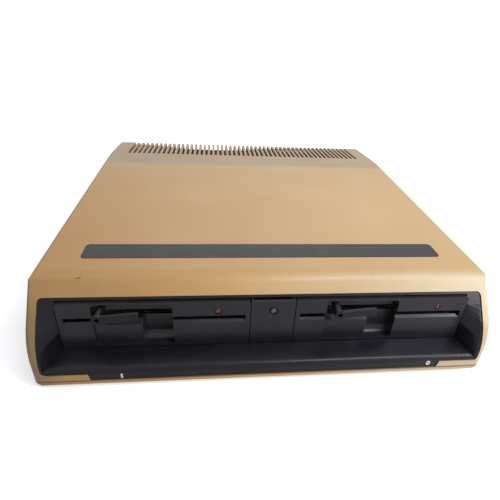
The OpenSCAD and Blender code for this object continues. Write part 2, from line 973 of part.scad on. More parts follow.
// Controller board on its standoffs, with the two ribbon headers
module main_board() {
    color(board_green) difference() {
        block([board_x0, board_y0, board_z], [board_x1, board_y1, board_z + board_t]);
        at_board_corners() cylinder(d = m3_d + 2 * screw_gap, h = top_z);
    }
    color(black_part) for (x = [-ribbon_x, ribbon_x]) {
        block(
            [x - header_w / 2, ribbon_y - header_d / 2, board_z + board_t],
            [x + header_w / 2, ribbon_y + header_d / 2, board_z + board_t + header_h]
        );
    }
    color(sheet_metal) at_board_corners() translate([0, 0, floor_z]) difference() {
        cylinder(d = standoff_d, h = standoff_h);
        translate([0, 0, wall / 2]) cylinder(d = m3_d + 2 * screw_gap, h = standoff_h);
    }
}

// Chips and the two regulators, as shares of the board's width and depth and of the
// longest chip
chip_shares = [
    [0.46, 0.62, 1], [0.46, 0.8, 1], [0.66, 0.62, 0.7], [0.66, 0.8, 0.7], [0.84, 0.3, 0.4],
    [0.84, 0.45, 0.4], [0.84, 0.6, 0.4], [0.84, 0.75, 0.4], [0.62, 0.42, 1]
];

module board_chips() {
    z0 = board_z + board_t;
    color(black_part) {
        for (c = chip_shares) {
            x = board_x0 + c[0] * (board_x1 - board_x0);
            y = board_y0 + c[1] * (board_y1 - board_y0);
            chip(x, y, z0, c[2] * chip_long);
        }
        for (side = [left, right]) {
            x = sink_x + side * sink_w / 4;
            block([x - reg_w / 2, sink_y - reg_t, z0 + reg_lead_l], [x + reg_w / 2, sink_y, z0 + reg_lead_l + reg_h]);
            block(
                [x - reg_lead_w / 2, sink_y - (reg_t + reg_lead_t) / 2, z0],
                [x + reg_lead_w / 2, sink_y - (reg_t - reg_lead_t) / 2, z0 + reg_lead_l + reg_h / 2]
            );
        }
    }
}

// Chip body held off the board by its two rows of leads
module chip(x, y, z0, length) {
    block([x - length / 2, y - chip_wide / 2, z0 + chip_seat], [x + length / 2, y + chip_wide / 2, z0 + chip_seat + chip_h]);
    for (side = [left, right]) {
        lead_y = y + side * (chip_wide / 2 + chip_seat / 2);
        block(
            [x - length / 2 + chip_lead_in, lead_y - chip_seat, z0],
            [x + length / 2 - chip_lead_in, lead_y + chip_seat, z0 + chip_seat + chip_h / 2]
        );
    }
}

module heat_sink() {
    x0 = sink_x - sink_w / 2;
    z0 = board_z + board_t;
    color(cast_metal) {
        block([x0, sink_y, z0], [x0 + sink_w, sink_y + sink_t, z0 + sink_h]);
        for (i = [0:fin_count - 1]) {
            x = x0 + i * (sink_w - fin_t) / (fin_count - 1);
            block([x, sink_y + sink_t / 2, z0], [x + fin_t, sink_y + sink_t + fin_l, z0 + sink_h]);
        }
    }
}

module smoothing_capacitors() {
    color([0.2, 0.3, 0.5]) for (i = [0:1]) {
        x = board_x0 + cap_d / 2 + cap_gap + i * (cap_d + cap_gap);
        y = sink_y - cap_d / 2 - cap_back;
        z1 = board_z + board_t + cap_h;
        difference() {
            bar_z(x, y, board_z + board_t, z1, cap_d);
            bar_z(x, y, z1 - cap_rim, top_z, cap_d - 4 * cap_rim);
        }
    }
}

// Laminated core on its strap, with the coil through it
module transformer() {
    x0 = iron_x - iron_w / 2;
    z0 = floor_z + strap_t;
    color([0.4, 0.4, 0.42]) {
        block([iron_x - strap_w / 2, iron_y - iron_d / 2, floor_z], [iron_x + strap_w / 2, iron_y + iron_d / 2, z0]);
        block([x0, iron_y - iron_d / 2, z0], [x0 + iron_w, iron_y + iron_d / 2, z0 + iron_h]);
    }
    color(copper_brown) extrude_z(z0 + (iron_h - coil_h) / 2, z0 + (iron_h + coil_h) / 2)
        round_rect([iron_x - coil_w / 2, iron_y - coil_d / 2], [iron_x + coil_w / 2, iron_y + coil_d / 2], wall);
}

// Sheet brackets that carry both drives on the floor
module drive_brackets() {
    outer = drive_x + chassis_w / 2;
    inner = drive_x - chassis_w / 2;
    top = bay_z + bracket_h;
    color(sheet_metal) difference() {
        union() {
            mirrored_x() {
                block([outer, bracket_y0, floor_z], [outer + bracket_t, bracket_y1, top]);
                block([outer, bracket_y0, floor_z], [outer + bracket_foot, bracket_y1, floor_z + bracket_t]);
                block([inner - bracket_t, bracket_y0, floor_z], [inner, bracket_y1, top]);
            }
            block([-inner, bracket_y0, floor_z], [inner, bracket_y1, floor_z + bracket_t]);
        }
        for (y = drive_hole_y) {
            bar_x(-case_w / 2, case_w / 2, bezel_y + y, bay_z + drive_hole_z, m3_d + 2 * screw_gap);
        }
    }
}

// Small screws: drives to brackets, boards to standoffs
module inner_screws() {
    color(steel) {
        for (side = [left, right]) {
            for (face = [left, right]) {
                for (y = drive_hole_y) {
                    wall_x = side * drive_x + face * chassis_w / 2;
                    translate([wall_x, bezel_y + y, bay_z + drive_hole_z])
                        rotate([0, 90 * face, 0]) side_screw();
                }
            }
        }
        at_board_corners() {
            bar_z(0, 0, board_z + board_t, board_z + board_t + m3_head_h, m3_head_d);
            bar_z(0, 0, floor_z + wall, board_z + board_t + m3_head_h / 2, m3_d);
        }
        for (side = [left, right]) {
            place_drive(side) at_motor_posts() {
                bar_z(0, 0, motor_pcb_z - pcb_head_h, motor_pcb_z, pcb_head_d);
                bar_z(0, 0, motor_pcb_z - pcb_head_h / 2, web_z, pcb_screw_d);
            }
        }
    }
}

// Screw with its head on the bracket and its end inside the chassis side
module side_screw() {
    translate([0, 0, bracket_t]) cylinder(d = m3_head_d, h = m3_head_h);
    translate([0, 0, -side_t - screw_end]) cylinder(d = m3_d, h = bracket_t + m3_head_h / 2 + side_t + screw_end);
}

// Flat cables from the drives' boards to the main board, with their plugs
module drive_ribbons() {
    top = bay_z + side_top + board_t + header_h;
    run_z = top + header_h / 2;
    plug_y = bezel_y + logic_y1 - header_d;
    turn_y = ribbon_y + ribbon_t / 2 - ribbon_r;
    low = board_z + board_t + 2 * header_h;
    inner_r = ribbon_r - ribbon_t;
    c = [turn_y, run_z - ribbon_r];
    for (side = [left, right]) {
        translate([side * ribbon_x, 0, 0]) {
            color([0.6, 0.6, 0.62]) extrude_x(-header_w / 2 + over, header_w / 2 - over) union() {
                rect([plug_y + header_d / 2, run_z - ribbon_t], [turn_y, run_z]);
                polygon(concat(arc(c, ribbon_r, 90, 0), arc(c, inner_r, 0, 90)));
                rect([ribbon_y - ribbon_t / 2, low], [ribbon_y + ribbon_t / 2, run_z - ribbon_r]);
            }
            color(black_part) {
                block([-header_w / 2, plug_y - header_d / 2, top], [header_w / 2, plug_y + header_d / 2, top + header_h]);
                block([-header_w / 2, ribbon_y - header_d / 2, low - header_h], [header_w / 2, ribbon_y + header_d / 2, low]);
            }
        }
    }
}

module place_drive(side) {
    translate([side * drive_x, bezel_y, bay_z]) children();
}

// Drive bezel with its disk slot and the finger recess
module bezel() {
    half = drive_w / 2 - side_gap;
    z1 = bay_h - bezel_gap;
    deep = recess_deep + recess_wall;
    color(dark_brown) difference() {
        union() {
            extrude_y(0, bezel_t) round_rect([-half, bezel_gap], [half, z1], bezel_r);
            block([recess_x0 - recess_wall, 0, bezel_gap], [recess_x1 + recess_wall, deep, z1]);
            bar_y(hub_x, deep - over, deep + recess_wall, hub_z, shaft_d + 2 * recess_wall);
        }
        recess_room();
        slot_cut(deep);
        bar_y(hub_x, 0, deep + 2 * recess_wall, hub_z, shaft_d + 2 * run_gap);
        bar_y(led_x, -over, bezel_t + over, led_z, lamp_d + 2 * screw_gap);
    }
}

// Room of the recess: full depth over the slot and at the right, shallow over the block
module recess_room() {
    block_z = slot_z - block_drop;
    difference() {
        extrude_y(-over, recess_deep) round_rect([recess_x0, recess_z0], [recess_x1, recess_z1], recess_r);
        extrude_x(recess_x0 - over, block_x1) polygon([
            [block_set, -over], [block_set, block_z], [block_set + block_drop - block_lip, slot_z - block_lip],
            [block_set + block_drop - block_lip, slot_z], [bezel_t + recess_deep, slot_z], [bezel_t + recess_deep, -over]
        ]);
        extrude_x(recess_x0 - over, recess_x1 + over) scoop_floor();
    }
}

// Curved floor that runs up the back wall of the finger pocket
module scoop_floor() {
    c = [recess_deep - scoop_r, recess_z0 + scoop_r];
    polygon(concat([[recess_deep + over, c[1]]], arc(c, scoop_r, 0, -90), [[recess_deep + over, recess_z0]]));
}

// Slot through the bezel with a sloping lower lip
module slot_cut(deep) {
    block([-slot_w / 2, -over, slot_z], [slot_w / 2, deep + over, slot_z + slot_h]);
    extrude_x(-slot_w / 2, slot_w / 2) polygon([
        [-over, slot_z - lip_drop], [0, slot_z - lip_drop], [lip_drop, slot_z], [lip_drop, slot_z + over], [-over, slot_z + over]
    ]);
}

// Turning latch: hub, neck and arm, open as in the photo
module lever() {
    color(dark_brown) difference() {
        union() {
            bar_y(hub_x, -lever_out, arm_deep - lever_out, hub_z, lever_hub_d);
            bar_y(hub_x, arm_deep - lever_out - over, recess_deep - free_gap, hub_z, neck_d);
            translate([hub_x, 0, hub_z]) extrude_y(-lever_out, arm_deep - lever_out) lever_outline();
        }
        bar_y(hub_x, -lever_out - over, hub_eye_deep - lever_out, hub_z, hub_eye_d);
        bar_y(hub_x, hub_eye_deep - lever_out + over, recess_deep, hub_z, shaft_d + 2 * screw_gap);
    }
}

// Outline of the arm, as shares of its length and of the hub's diameter
module lever_outline() {
    tip_r = 1.5;
    outline_shares = [[0, 0.36], [0.8, 0.66], [1, 0.7], [0.98, -0.08], [0.77, -0.12], [0, -0.34]];
    offset(r = tip_r) offset(delta = -tip_r)
        polygon([for (p = outline_shares) [p[0] * lever_l, p[1] * lever_hub_d]]);
}

// Shaft behind the lever with the cam that presses the clamp arm
module lever_shaft() {
    color(steel) {
        bar_y(hub_x, hub_eye_deep - lever_out + over + free_gap, cam_y + cam_w, hub_z, shaft_d);
        translate([hub_x, 0, hub_z]) extrude_y(cam_y, cam_y + cam_w) polygon(cam_outline);
    }
}

// Outline that pushes a flat arm down evenly: a small circle, then the rising flank
cam_outline = concat(
    arc([0, 0], cam_r0, 90, 270),
    [for (i = [0:cam_steps]) cam_point(lever_turn * i / cam_steps)]
);

// Chassis: two sides, a web and the seats of what it carries
module chassis() {
    half = chassis_w / 2;
    color(cast_metal) difference() {
        union() {
            mirrored_x() {
                block([half - side_t, bezel_t, side_low], [half, drive_l, side_top]);
                block([half - side_t - ledge_w, bezel_t + recess_deep, slot_z - ledge_t], [half - side_t / 2, hinge_y - ledge_end, slot_z]);
            }
            block([-half + side_t / 2, recess_deep + 2 * recess_wall + web_front_gap, web_z], [half - side_t / 2, drive_l, web_top]);
            bar_z(0, spindle_y, housing_z0, housing_z1, housing_d);
            at_motor_posts() translate([0, 0, motor_pcb_z + board_t]) cylinder(d = pcb_post_d, h = web_z + over - motor_pcb_z - board_t);
            for (x = [-rail_x, rail_x]) {
                for (y = [rail_y0, rail_y1 - rail_block_t]) {
                    block([x - rail_block_w / 2, y, web_z], [x + rail_block_w / 2, y + rail_block_t, rail_z + rail_d / 2 + rail_cap]);
                }
            }
        }
        bar_z(0, spindle_y, 0, slot_z, bearing_d + 2 * run_gap);
        at_motor_posts() cylinder(d = pcb_screw_d + 2 * screw_gap, h = web_top + over);
        for (x = [-rail_x, rail_x]) {
            bar_y(x, rail_y0 - over, rail_y1 + over, rail_z, rail_d + 2 * run_gap);
        }
        stepper_room();
        bar_x(-half - over, half + over, hinge_y, leg_z + leg_t / 2, hinge_d + 2 * run_gap);
        for (y = drive_hole_y) {
            bar_x(-half - over, half + over, y, drive_hole_z, m3_d + 2 * screw_gap);
        }
    }
    color(cast_metal) stepper_upright();
}

module at_motor_posts() {
    reach = motor_pcb_w / 2 - pcb_post_in;
    for (x = [-reach, reach]) {
        for (y = [-reach, reach]) {
            translate([x, spindle_y + y, 0]) children();
        }
    }
}

// Cut-outs of the web for the capstan and for the stepper
module stepper_room() {
    capstan_half = capstan_d / 2 + capstan_room;
    motor_half = stepper_d / 2 + motor_room;
    flange_x = stepper_x - stepper_flange_t;
    block(
        [bar_x0 + bar_t + free_gap, stepper_y - capstan_half, side_low],
        [flange_x - upright_t, stepper_y + capstan_half, web_top + over]
    );
    block(
        [flange_x, stepper_y - motor_half, side_low],
        [stepper_x + stepper_l + motor_room / 2, stepper_y + motor_half, web_top + over]
    );
}

module stepper_upright() {
    x0 = stepper_x - stepper_flange_t - upright_t;
    difference() {
        block([x0, stepper_y - upright_w / 2, web_z + web_t / 2], [x0 + upright_t, stepper_y + upright_w / 2, stepper_top]);
        bar_x(x0 - over, x0 + upright_t + over, stepper_y, stepper_z, stepper_boss_d);
    }
}

module shaft_bridge() {
    half = chassis_w / 2;
    y0 = cam_y - bridge_front;
    y1 = cam_y - bridge_back;
    color(sheet_metal) difference() {
        union() {
            block([-half, y0, side_top], [half, y1, side_top + bridge_t]);
            block([hub_x - lug_w / 2, y0, hub_z - shaft_d / 2 - run_gap - lug_wall], [hub_x + lug_w / 2, y1, side_top + bridge_t / 2]);
        }
        bar_y(hub_x, y0 - over, y1 + over, hub_z, shaft_d + 2 * run_gap);
    }
}

// The arm and its cone are lifted about the hinge when the lever is open
module lifted() {
    translate([0, hinge_y, leg_z + leg_t / 2]) rotate([-clamp_a, 0, 0])
        translate([0, -hinge_y, -leg_z - leg_t / 2]) children();
}

module clamp_arm() {
    web_x = leg_x0 + leg_t;
    pin_end = chassis_w / 2;
    color(sheet_metal) lifted() {
        mirrored_x() {
            block([leg_x0, leg_y0, leg_z], [leg_x1, hinge_y + hinge_d, leg_z + leg_t]);
            block([leg_x0, arm_web_y0, leg_z], [web_x, arm_plate_y1, arm_plate_z + leg_t]);
            bar_x(leg_x1 - hinge_d, pin_end, hinge_y, leg_z + leg_t / 2, hinge_d);
        }
        extrude_z(arm_plate_z, arm_plate_z + leg_t) difference() {
            rect([-web_x, arm_plate_y0], [web_x, arm_plate_y1]);
            rect([-arm_notch_w / 2, arm_notch_y0], [arm_notch_w / 2, arm_plate_y1 + over]);
        }
        bar_z(0, spindle_y, cone_z - cone_h / 2, arm_plate_z + leg_t / 2, cone_pin_d);
    }
}

// Cone that centres the disk on the hub
module clamp_cone() {
    color(black_part) lifted() difference() {
        union() {
            bar_z(0, spindle_y, cone_z, cone_z + cone_flange_t, cone_flange_d);
            translate([0, spindle_y, cone_z - cone_h]) cylinder(d1 = cone_tip_d, d2 = cone_d, h = cone_h);
            bar_z(0, spindle_y, cone_z + cone_flange_t / 2, arm_plate_z - free_gap, 2 * cone_pin_d);
        }
        bar_z(0, spindle_y, cone_z - cone_h - over, arm_plate_z, cone_pin_d + 2 * run_gap);
    }
}

// Hub, shaft and rotor in one turning piece
module spindle() {
    hub_z0 = slot_z - hub_t;
    color(steel) difference() {
        union() {
            bar_z(0, spindle_y, hub_z0, slot_z, hub_d);
            bar_z(0, spindle_y, rotor_z, hub_z0 + over, spindle_d);
            bar_z(0, spindle_y, rotor_z, rotor_z + rotor_t, rotor_d);
        }
        translate([0, spindle_y, slot_z - hub_bore_deep])
            cylinder(d1 = hub_mouth_d - hub_taper, d2 = hub_mouth_d + hub_taper, h = 2 * hub_bore_deep);
        difference() {
            bar_z(0, spindle_y, rotor_z + rotor_t / 2, housing_z0, rotor_d - 2 * rotor_rim);
            bar_z(0, spindle_y, rotor_z, housing_z0 + over, 2 * spindle_d);
        }
    }
}

module spindle_bearings() {
    color(steel) for (z = [housing_z0 + bearing_in, housing_z1 - bearing_h - bearing_in]) {
        difference() {
            bar_z(0, spindle_y, z, z + bearing_h, bearing_d);
            bar_z(0, spindle_y, z - over, z + bearing_h + over, spindle_d + 2 * run_gap);
        }
    }
}

// Flat motor board with its ring of coils
module motor_board() {
    half = motor_pcb_w / 2;
    ring_share = 0.56;
    color(board_green) difference() {
        block([-half, spindle_y - half, motor_pcb_z], [half, spindle_y + half, motor_pcb_z + board_t]);
        at_motor_posts() cylinder(d = pcb_screw_d + 2 * screw_gap, h = web_z);
    }
    color(copper_brown) for (i = [0:5]) {
        r = ring_share * half;
        bar_z(r * cos(60 * i), spindle_y + r * sin(60 * i), motor_pcb_z + board_t, motor_pcb_z + board_t + coil_pad_h, coil_pad_d);
    }
}

// Carriage on the two rails, with the lower head, the tower of the upper arm and the bar
// that carries the band
module head_carriage() {
    half = carriage_w / 2;
    y0 = head_y - carriage_front;
    y1 = head_y + carriage_rear;
    pad_x = capstan_x0 + capstan_w;
    tower_y0 = head_y + tower_y - ear_in;
    color([0.3, 0.3, 0.32]) difference() {
        union() {
            block([-half, y0, carriage_z0], [half, y1, carriage_z1]);
            bar_z(0, head_y, carriage_z1 - over, slot_z - head_gap, head_d);
            block([-tower_w / 2, tower_y0, carriage_z1 - over], [tower_w / 2, y1, head_pivot_z + head_pivot_d]);
            block(
                [bar_x0 - over, head_y + band_front - band_bar_in, carriage_z0],
                [bar_x0 + bar_t, head_y + band_rear + band_pad_t / 2, carriage_z1]
            );
            for (y = [band_front, band_rear]) {
                block(
                    [bar_x0, head_y + y - band_pad_t / 2, stepper_z + band_pad_rise],
                    [pad_x, head_y + y + band_pad_t / 2, band_z]
                );
            }
        }
        for (x = [-rail_x, rail_x]) {
            bar_y(x, y0 - over, y1 + over, rail_z, rail_d + 2 * run_gap);
        }
        block([-tower_gap / 2, tower_y0 - over, carriage_z1 + over], [tower_gap / 2, y1 + over, top_z]);
        bar_x(-tower_w, tower_w, head_y + tower_y, head_pivot_z, head_pivot_d + 2 * run_gap);
    }
}

// Upper head arm between the ears of the tower, lifted clear of the disk
module head_arm() {
    z0 = head_pivot_z - head_arm_t / 2;
    color([0.3, 0.3, 0.32]) {
        block([-head_arm_w / 2, head_y - arm_nose, z0], [head_arm_w / 2, head_y + tower_y + ear_in, z0 + head_arm_t]);
        bar_z(0, head_y, z0 - pad_t, z0 + over, head_d);
        bar_x(-tower_w / 2, tower_w / 2, head_y + tower_y, head_pivot_z, head_pivot_d);
    }
}

module guide_rails() {
    color(steel) for (x = [-rail_x, rail_x]) {
        bar_y(x, rail_y0, rail_y1, rail_z, rail_d);
    }
}

module stepper_motor() {
    flange_x = stepper_x - stepper_flange_t;
    color(steel) difference() {
        union() {
            bar_x(stepper_x, stepper_x + stepper_l, stepper_y, stepper_z, stepper_d);
            extrude_x(flange_x, stepper_x) round_rect(
                [stepper_y - stepper_d / 2, web_top + free_gap],
                [stepper_y + stepper_d / 2, stepper_top], stepper_trim
            );
        }
        bar_x(flange_x - over, stepper_x + stepper_l - stepper_cap_t, stepper_y, stepper_z, shaft_d + 2 * run_gap);
    }
}

module capstan() {
    color(steel) {
        bar_x(capstan_x0, capstan_x0 + capstan_w, stepper_y, stepper_z, capstan_d);
        bar_x(capstan_x0, stepper_x + stepper_l - capstan_end, stepper_y, stepper_z, shaft_d);
    }
}

// Steel band stretched between the carriage's two pads, over the capstan
module drive_band() {
    y0 = head_y + band_front - band_pad_t / 2;
    y1 = head_y + band_rear + band_pad_t / 2;
    color(steel) block([capstan_x0, y0, band_z], [capstan_x0 + capstan_w, y1, band_z + band_t]);
}

// Board on top of the chassis with its chips and, towards the middle, its ribbon header
module logic_board(side) {
    half = chassis_w / 2;
    z1 = side_top + board_t;
    header_x = -side * drive_w / 4;
    header_y = logic_y1 - header_d;
    row_shares = [[-0.55, 0.25, 0.5], [-0.05, 0.25, 0.4], [0.5, 0.25, 0.4], [-0.5, 0.6, 0.7], [0.15, 0.6, 0.4]];
    color(board_green) block([-half, logic_y0, side_top], [half, logic_y1, z1]);
    color(black_part) {
        for (c = row_shares) {
            x = -side * c[0] * half;
            y = logic_y0 + c[1] * (logic_y1 - logic_y0);
            length = c[2] * chip_long;
            block([x - length / 2, y - logic_chip_d / 2, z1], [x + length / 2, y + logic_chip_d / 2, z1 + chip_h]);
        }
        block([header_x - header_w / 2, header_y - header_d / 2, z1], [header_x + header_w / 2, header_y + header_d / 2, z1 + header_h]);
    }
}

module activity_lamp() {
    color([0.6, 0.05, 0.05]) {
        bar_y(led_x, -lamp_flange / 2, bezel_t + lamp_flange, led_z, lamp_d);
        bar_y(led_x, bezel_t, bezel_t + lamp_flange, led_z, lamp_d + 2 * lamp_flange);
    }
}

// One module for each drive's pieces
module left_bezel() {
    place_drive(left) bezel();
}

module left_lever() {
    place_drive(left) lever();
}

module left_lever_shaft() {
    place_drive(left) lever_shaft();
}

module left_chassis() {
    place_drive(left) chassis();
}

module left_shaft_bridge() {
    place_drive(left) shaft_bridge();
}

module left_clamp_arm() {
    place_drive(left) clamp_arm();
}

module left_clamp_cone() {
    place_drive(left) clamp_cone();
}

module left_spindle() {
    place_drive(left) spindle();
}

module left_spindle_bearings() {
    place_drive(left) spindle_bearings();
}

module left_motor_board() {
    place_drive(left) motor_board();
}

module left_head_carriage() {
    place_drive(left) head_carriage();
}

module left_head_arm() {
    place_drive(left) head_arm();
}

module left_guide_rails() {
    place_drive(left) guide_rails();
}

module left_stepper_motor() {
    place_drive(left) stepper_motor();
}

module left_capstan() {
    place_drive(left) capstan();
}

module left_drive_band() {
    place_drive(left) drive_band();
}

module left_logic_board() {
    place_drive(left) logic_board(left);
}

module left_activity_lamp() {
    place_drive(left) activity_lamp();
}

module right_bezel() {
    place_drive(right) bezel();
}

module right_lever() {
    place_drive(right) lever();
}

module right_lever_shaft() {
    place_drive(right) lever_shaft();
}

module right_chassis() {
    place_drive(right) chassis();
}

module right_shaft_bridge() {
    place_drive(right) shaft_bridge();
}

module right_clamp_arm() {
    place_drive(right) clamp_arm();
}

module right_clamp_cone() {
    place_drive(right) clamp_cone();
}

module right_spindle() {
    place_drive(right) spindle();
}

module right_spindle_bearings() {
    place_drive(right) spindle_bearings();
}

module right_motor_board() {
    place_drive(right) motor_board();
}

module right_head_carriage() {
    place_drive(right) head_carriage();
}

module right_head_arm() {
    place_drive(right) head_arm();
}

module right_guide_rails() {
    place_drive(right) guide_rails();
}

module right_stepper_motor() {
    place_drive(right) stepper_motor();
}

module right_capstan() {
    place_drive(right) capstan();
}

module right_drive_band() {
    place_drive(right) drive_band();
}

module right_logic_board() {
    place_drive(right) logic_board(right);
}

module right_activity_lamp() {
    place_drive(right) activity_lamp();
}

top_cover();
base_pan();
front_surround();
name_plate();
centre_panel();
power_lamp();
rear_panel();
mains_inlet();
fuse_holder();
fuse_cap();
mains_fuse();
power_switch();
switch_rocker();
data_connector();
main_board();
board_chips();
smoothing_capacitors();
heat_sink();
transformer();
drive_brackets();
drive_ribbons();
rubber_feet();
case_screws();
inner_screws();
left_bezel();
left_lever();
left_lever_shaft();
left_chassis();
left_shaft_bridge();
left_clamp_arm();
left_clamp_cone();
left_spindle();
left_spindle_bearings();
left_motor_board();
left_head_carriage();
left_head_arm();
left_guide_rails();
left_stepper_motor();
left_capstan();
left_drive_band();
left_logic_board();
left_activity_lamp();
right_bezel();
right_lever();
right_lever_shaft();
right_chassis();
right_shaft_bridge();
right_clamp_arm();
right_clamp_cone();
right_spindle();
right_spindle_bearings();
right_motor_board();
right_head_carriage();
right_head_arm();
right_guide_rails();
right_stepper_motor();
right_capstan();
right_drive_band();
right_logic_board();
right_activity_lamp();
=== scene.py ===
# %% [markdown]
# # A desktop disk unit, dressed for its portrait
# The object is a low case of beige moulded plastic with a dark bay across its front. Two disk
# drives sit side by side in the bay, each with a slot, a finger recess and a turning latch. The
# frame that is loaded here already has every piece at its real size and place. These cells add
# what the eye looks for: rounded corners that catch the light, worn and yellowed plastic, dust,
# lenses, screws and the look of the parts inside.

# %% Load the frame
import math

import bmesh
import bpy
from mathutils import Matrix, Vector


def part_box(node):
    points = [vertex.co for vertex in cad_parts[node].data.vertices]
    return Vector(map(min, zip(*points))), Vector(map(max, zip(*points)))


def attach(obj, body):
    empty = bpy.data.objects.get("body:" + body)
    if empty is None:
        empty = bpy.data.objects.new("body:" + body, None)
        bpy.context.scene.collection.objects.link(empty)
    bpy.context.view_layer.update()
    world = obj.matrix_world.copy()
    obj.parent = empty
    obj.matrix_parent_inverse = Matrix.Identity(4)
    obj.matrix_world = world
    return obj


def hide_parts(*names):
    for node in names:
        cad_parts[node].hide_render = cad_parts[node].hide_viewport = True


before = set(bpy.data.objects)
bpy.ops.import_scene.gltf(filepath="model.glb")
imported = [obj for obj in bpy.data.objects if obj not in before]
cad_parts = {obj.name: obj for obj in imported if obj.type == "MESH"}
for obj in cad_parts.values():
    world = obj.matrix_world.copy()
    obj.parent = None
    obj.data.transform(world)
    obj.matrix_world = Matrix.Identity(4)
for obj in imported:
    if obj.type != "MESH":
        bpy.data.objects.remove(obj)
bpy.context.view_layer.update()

# %% [markdown]
# ## Where the picture was taken from
# The bezels' edges, whose real width is known, gave the place and the lens of the camera. It
# looks down on the front from a little left of the middle, and it was held slightly turned.
# Blender's camera looks along its own -Z with +Y up, so its three axes are worked out from the
# yaw, pitch and roll and become the columns of its matrix.

# %% Camera
EYE = Vector((-0.04776, -0.42917, 0.26651))
YAW, PITCH, ROLL = (math.radians(angle) for angle in (8.4, 31.3, 4.26))
FOCAL_PIXELS, CENTRE_X, CENTRE_Y, FRAME_PIXELS = 406.15, 263.74, 250.67, 500


def add_object(name, data):
    """Puts a mesh, lamp, camera or text into the scene as an object of that name."""
    made = bpy.data.objects.new(name, data)
    bpy.context.scene.collection.objects.link(made)
    return made


across = math.cos(PITCH)
ahead = Vector((math.sin(YAW) * across, math.cos(YAW) * across, -math.sin(PITCH)))
level = Vector((math.cos(YAW), -math.sin(YAW), 0))
upward = level.cross(ahead)
right_hand = math.cos(ROLL) * level + math.sin(ROLL) * upward
overhead = -math.sin(ROLL) * level + math.cos(ROLL) * upward

lens = bpy.data.cameras.new("view_camera")
lens.sensor_width = 36
lens.lens = FOCAL_PIXELS / FRAME_PIXELS * lens.sensor_width
lens.shift_x = (FRAME_PIXELS / 2 - CENTRE_X) / FRAME_PIXELS
lens.shift_y = (CENTRE_Y - FRAME_PIXELS / 2) / FRAME_PIXELS
camera = add_object("view_camera", lens)
pose = Matrix((right_hand, overhead, -ahead)).transposed().to_4x4()
pose.translation = EYE
camera.matrix_world = pose
bpy.context.scene.camera = camera
print("lens in mm:", round(lens.lens, 2))

# %% [markdown]
# ## Shader maths as plain Python
# A material is a net of nodes. Written out node by node it is long and hard to read, so one
# small class stands for an output of a node and turns +, -, * and / into Math nodes. Colours
# go through Mix nodes, because a Math node would turn them grey.


# %% Nets and their values
class Value:
    """One output of a node, on which ordinary maths can be written."""

    def __init__(self, net, socket):
        self.net = net
        self.socket = socket

    def math(self, operation, *others):
        return self.net.node("ShaderNodeMath", {"operation": operation}, [self, *others])

    def __add__(self, other):
        return self.math("ADD", other)

    def __sub__(self, other):
        return self.math("SUBTRACT", other)

    def __rsub__(self, other):
        return self.net.node("ShaderNodeMath", {"operation": "SUBTRACT"}, [other, self])

    def __mul__(self, other):
        return self.math("MULTIPLY", other)

    def __truediv__(self, other):
        return self.math("DIVIDE", other)

    def __gt__(self, other):
        return self.math("GREATER_THAN", other)

    def __lt__(self, other):
        return self.math("LESS_THAN", other)

    __radd__ = __add__


def linear(red, green, blue):
    """Turns a colour in screen steps of 0 to 255 into the light that a shader works with."""
    def channel(level):
        share = level / 255
        return share / 12.92 if share <= 0.04045 else ((share + 0.055) / 1.055) ** 2.4
    return (channel(red), channel(green), channel(blue), 1)


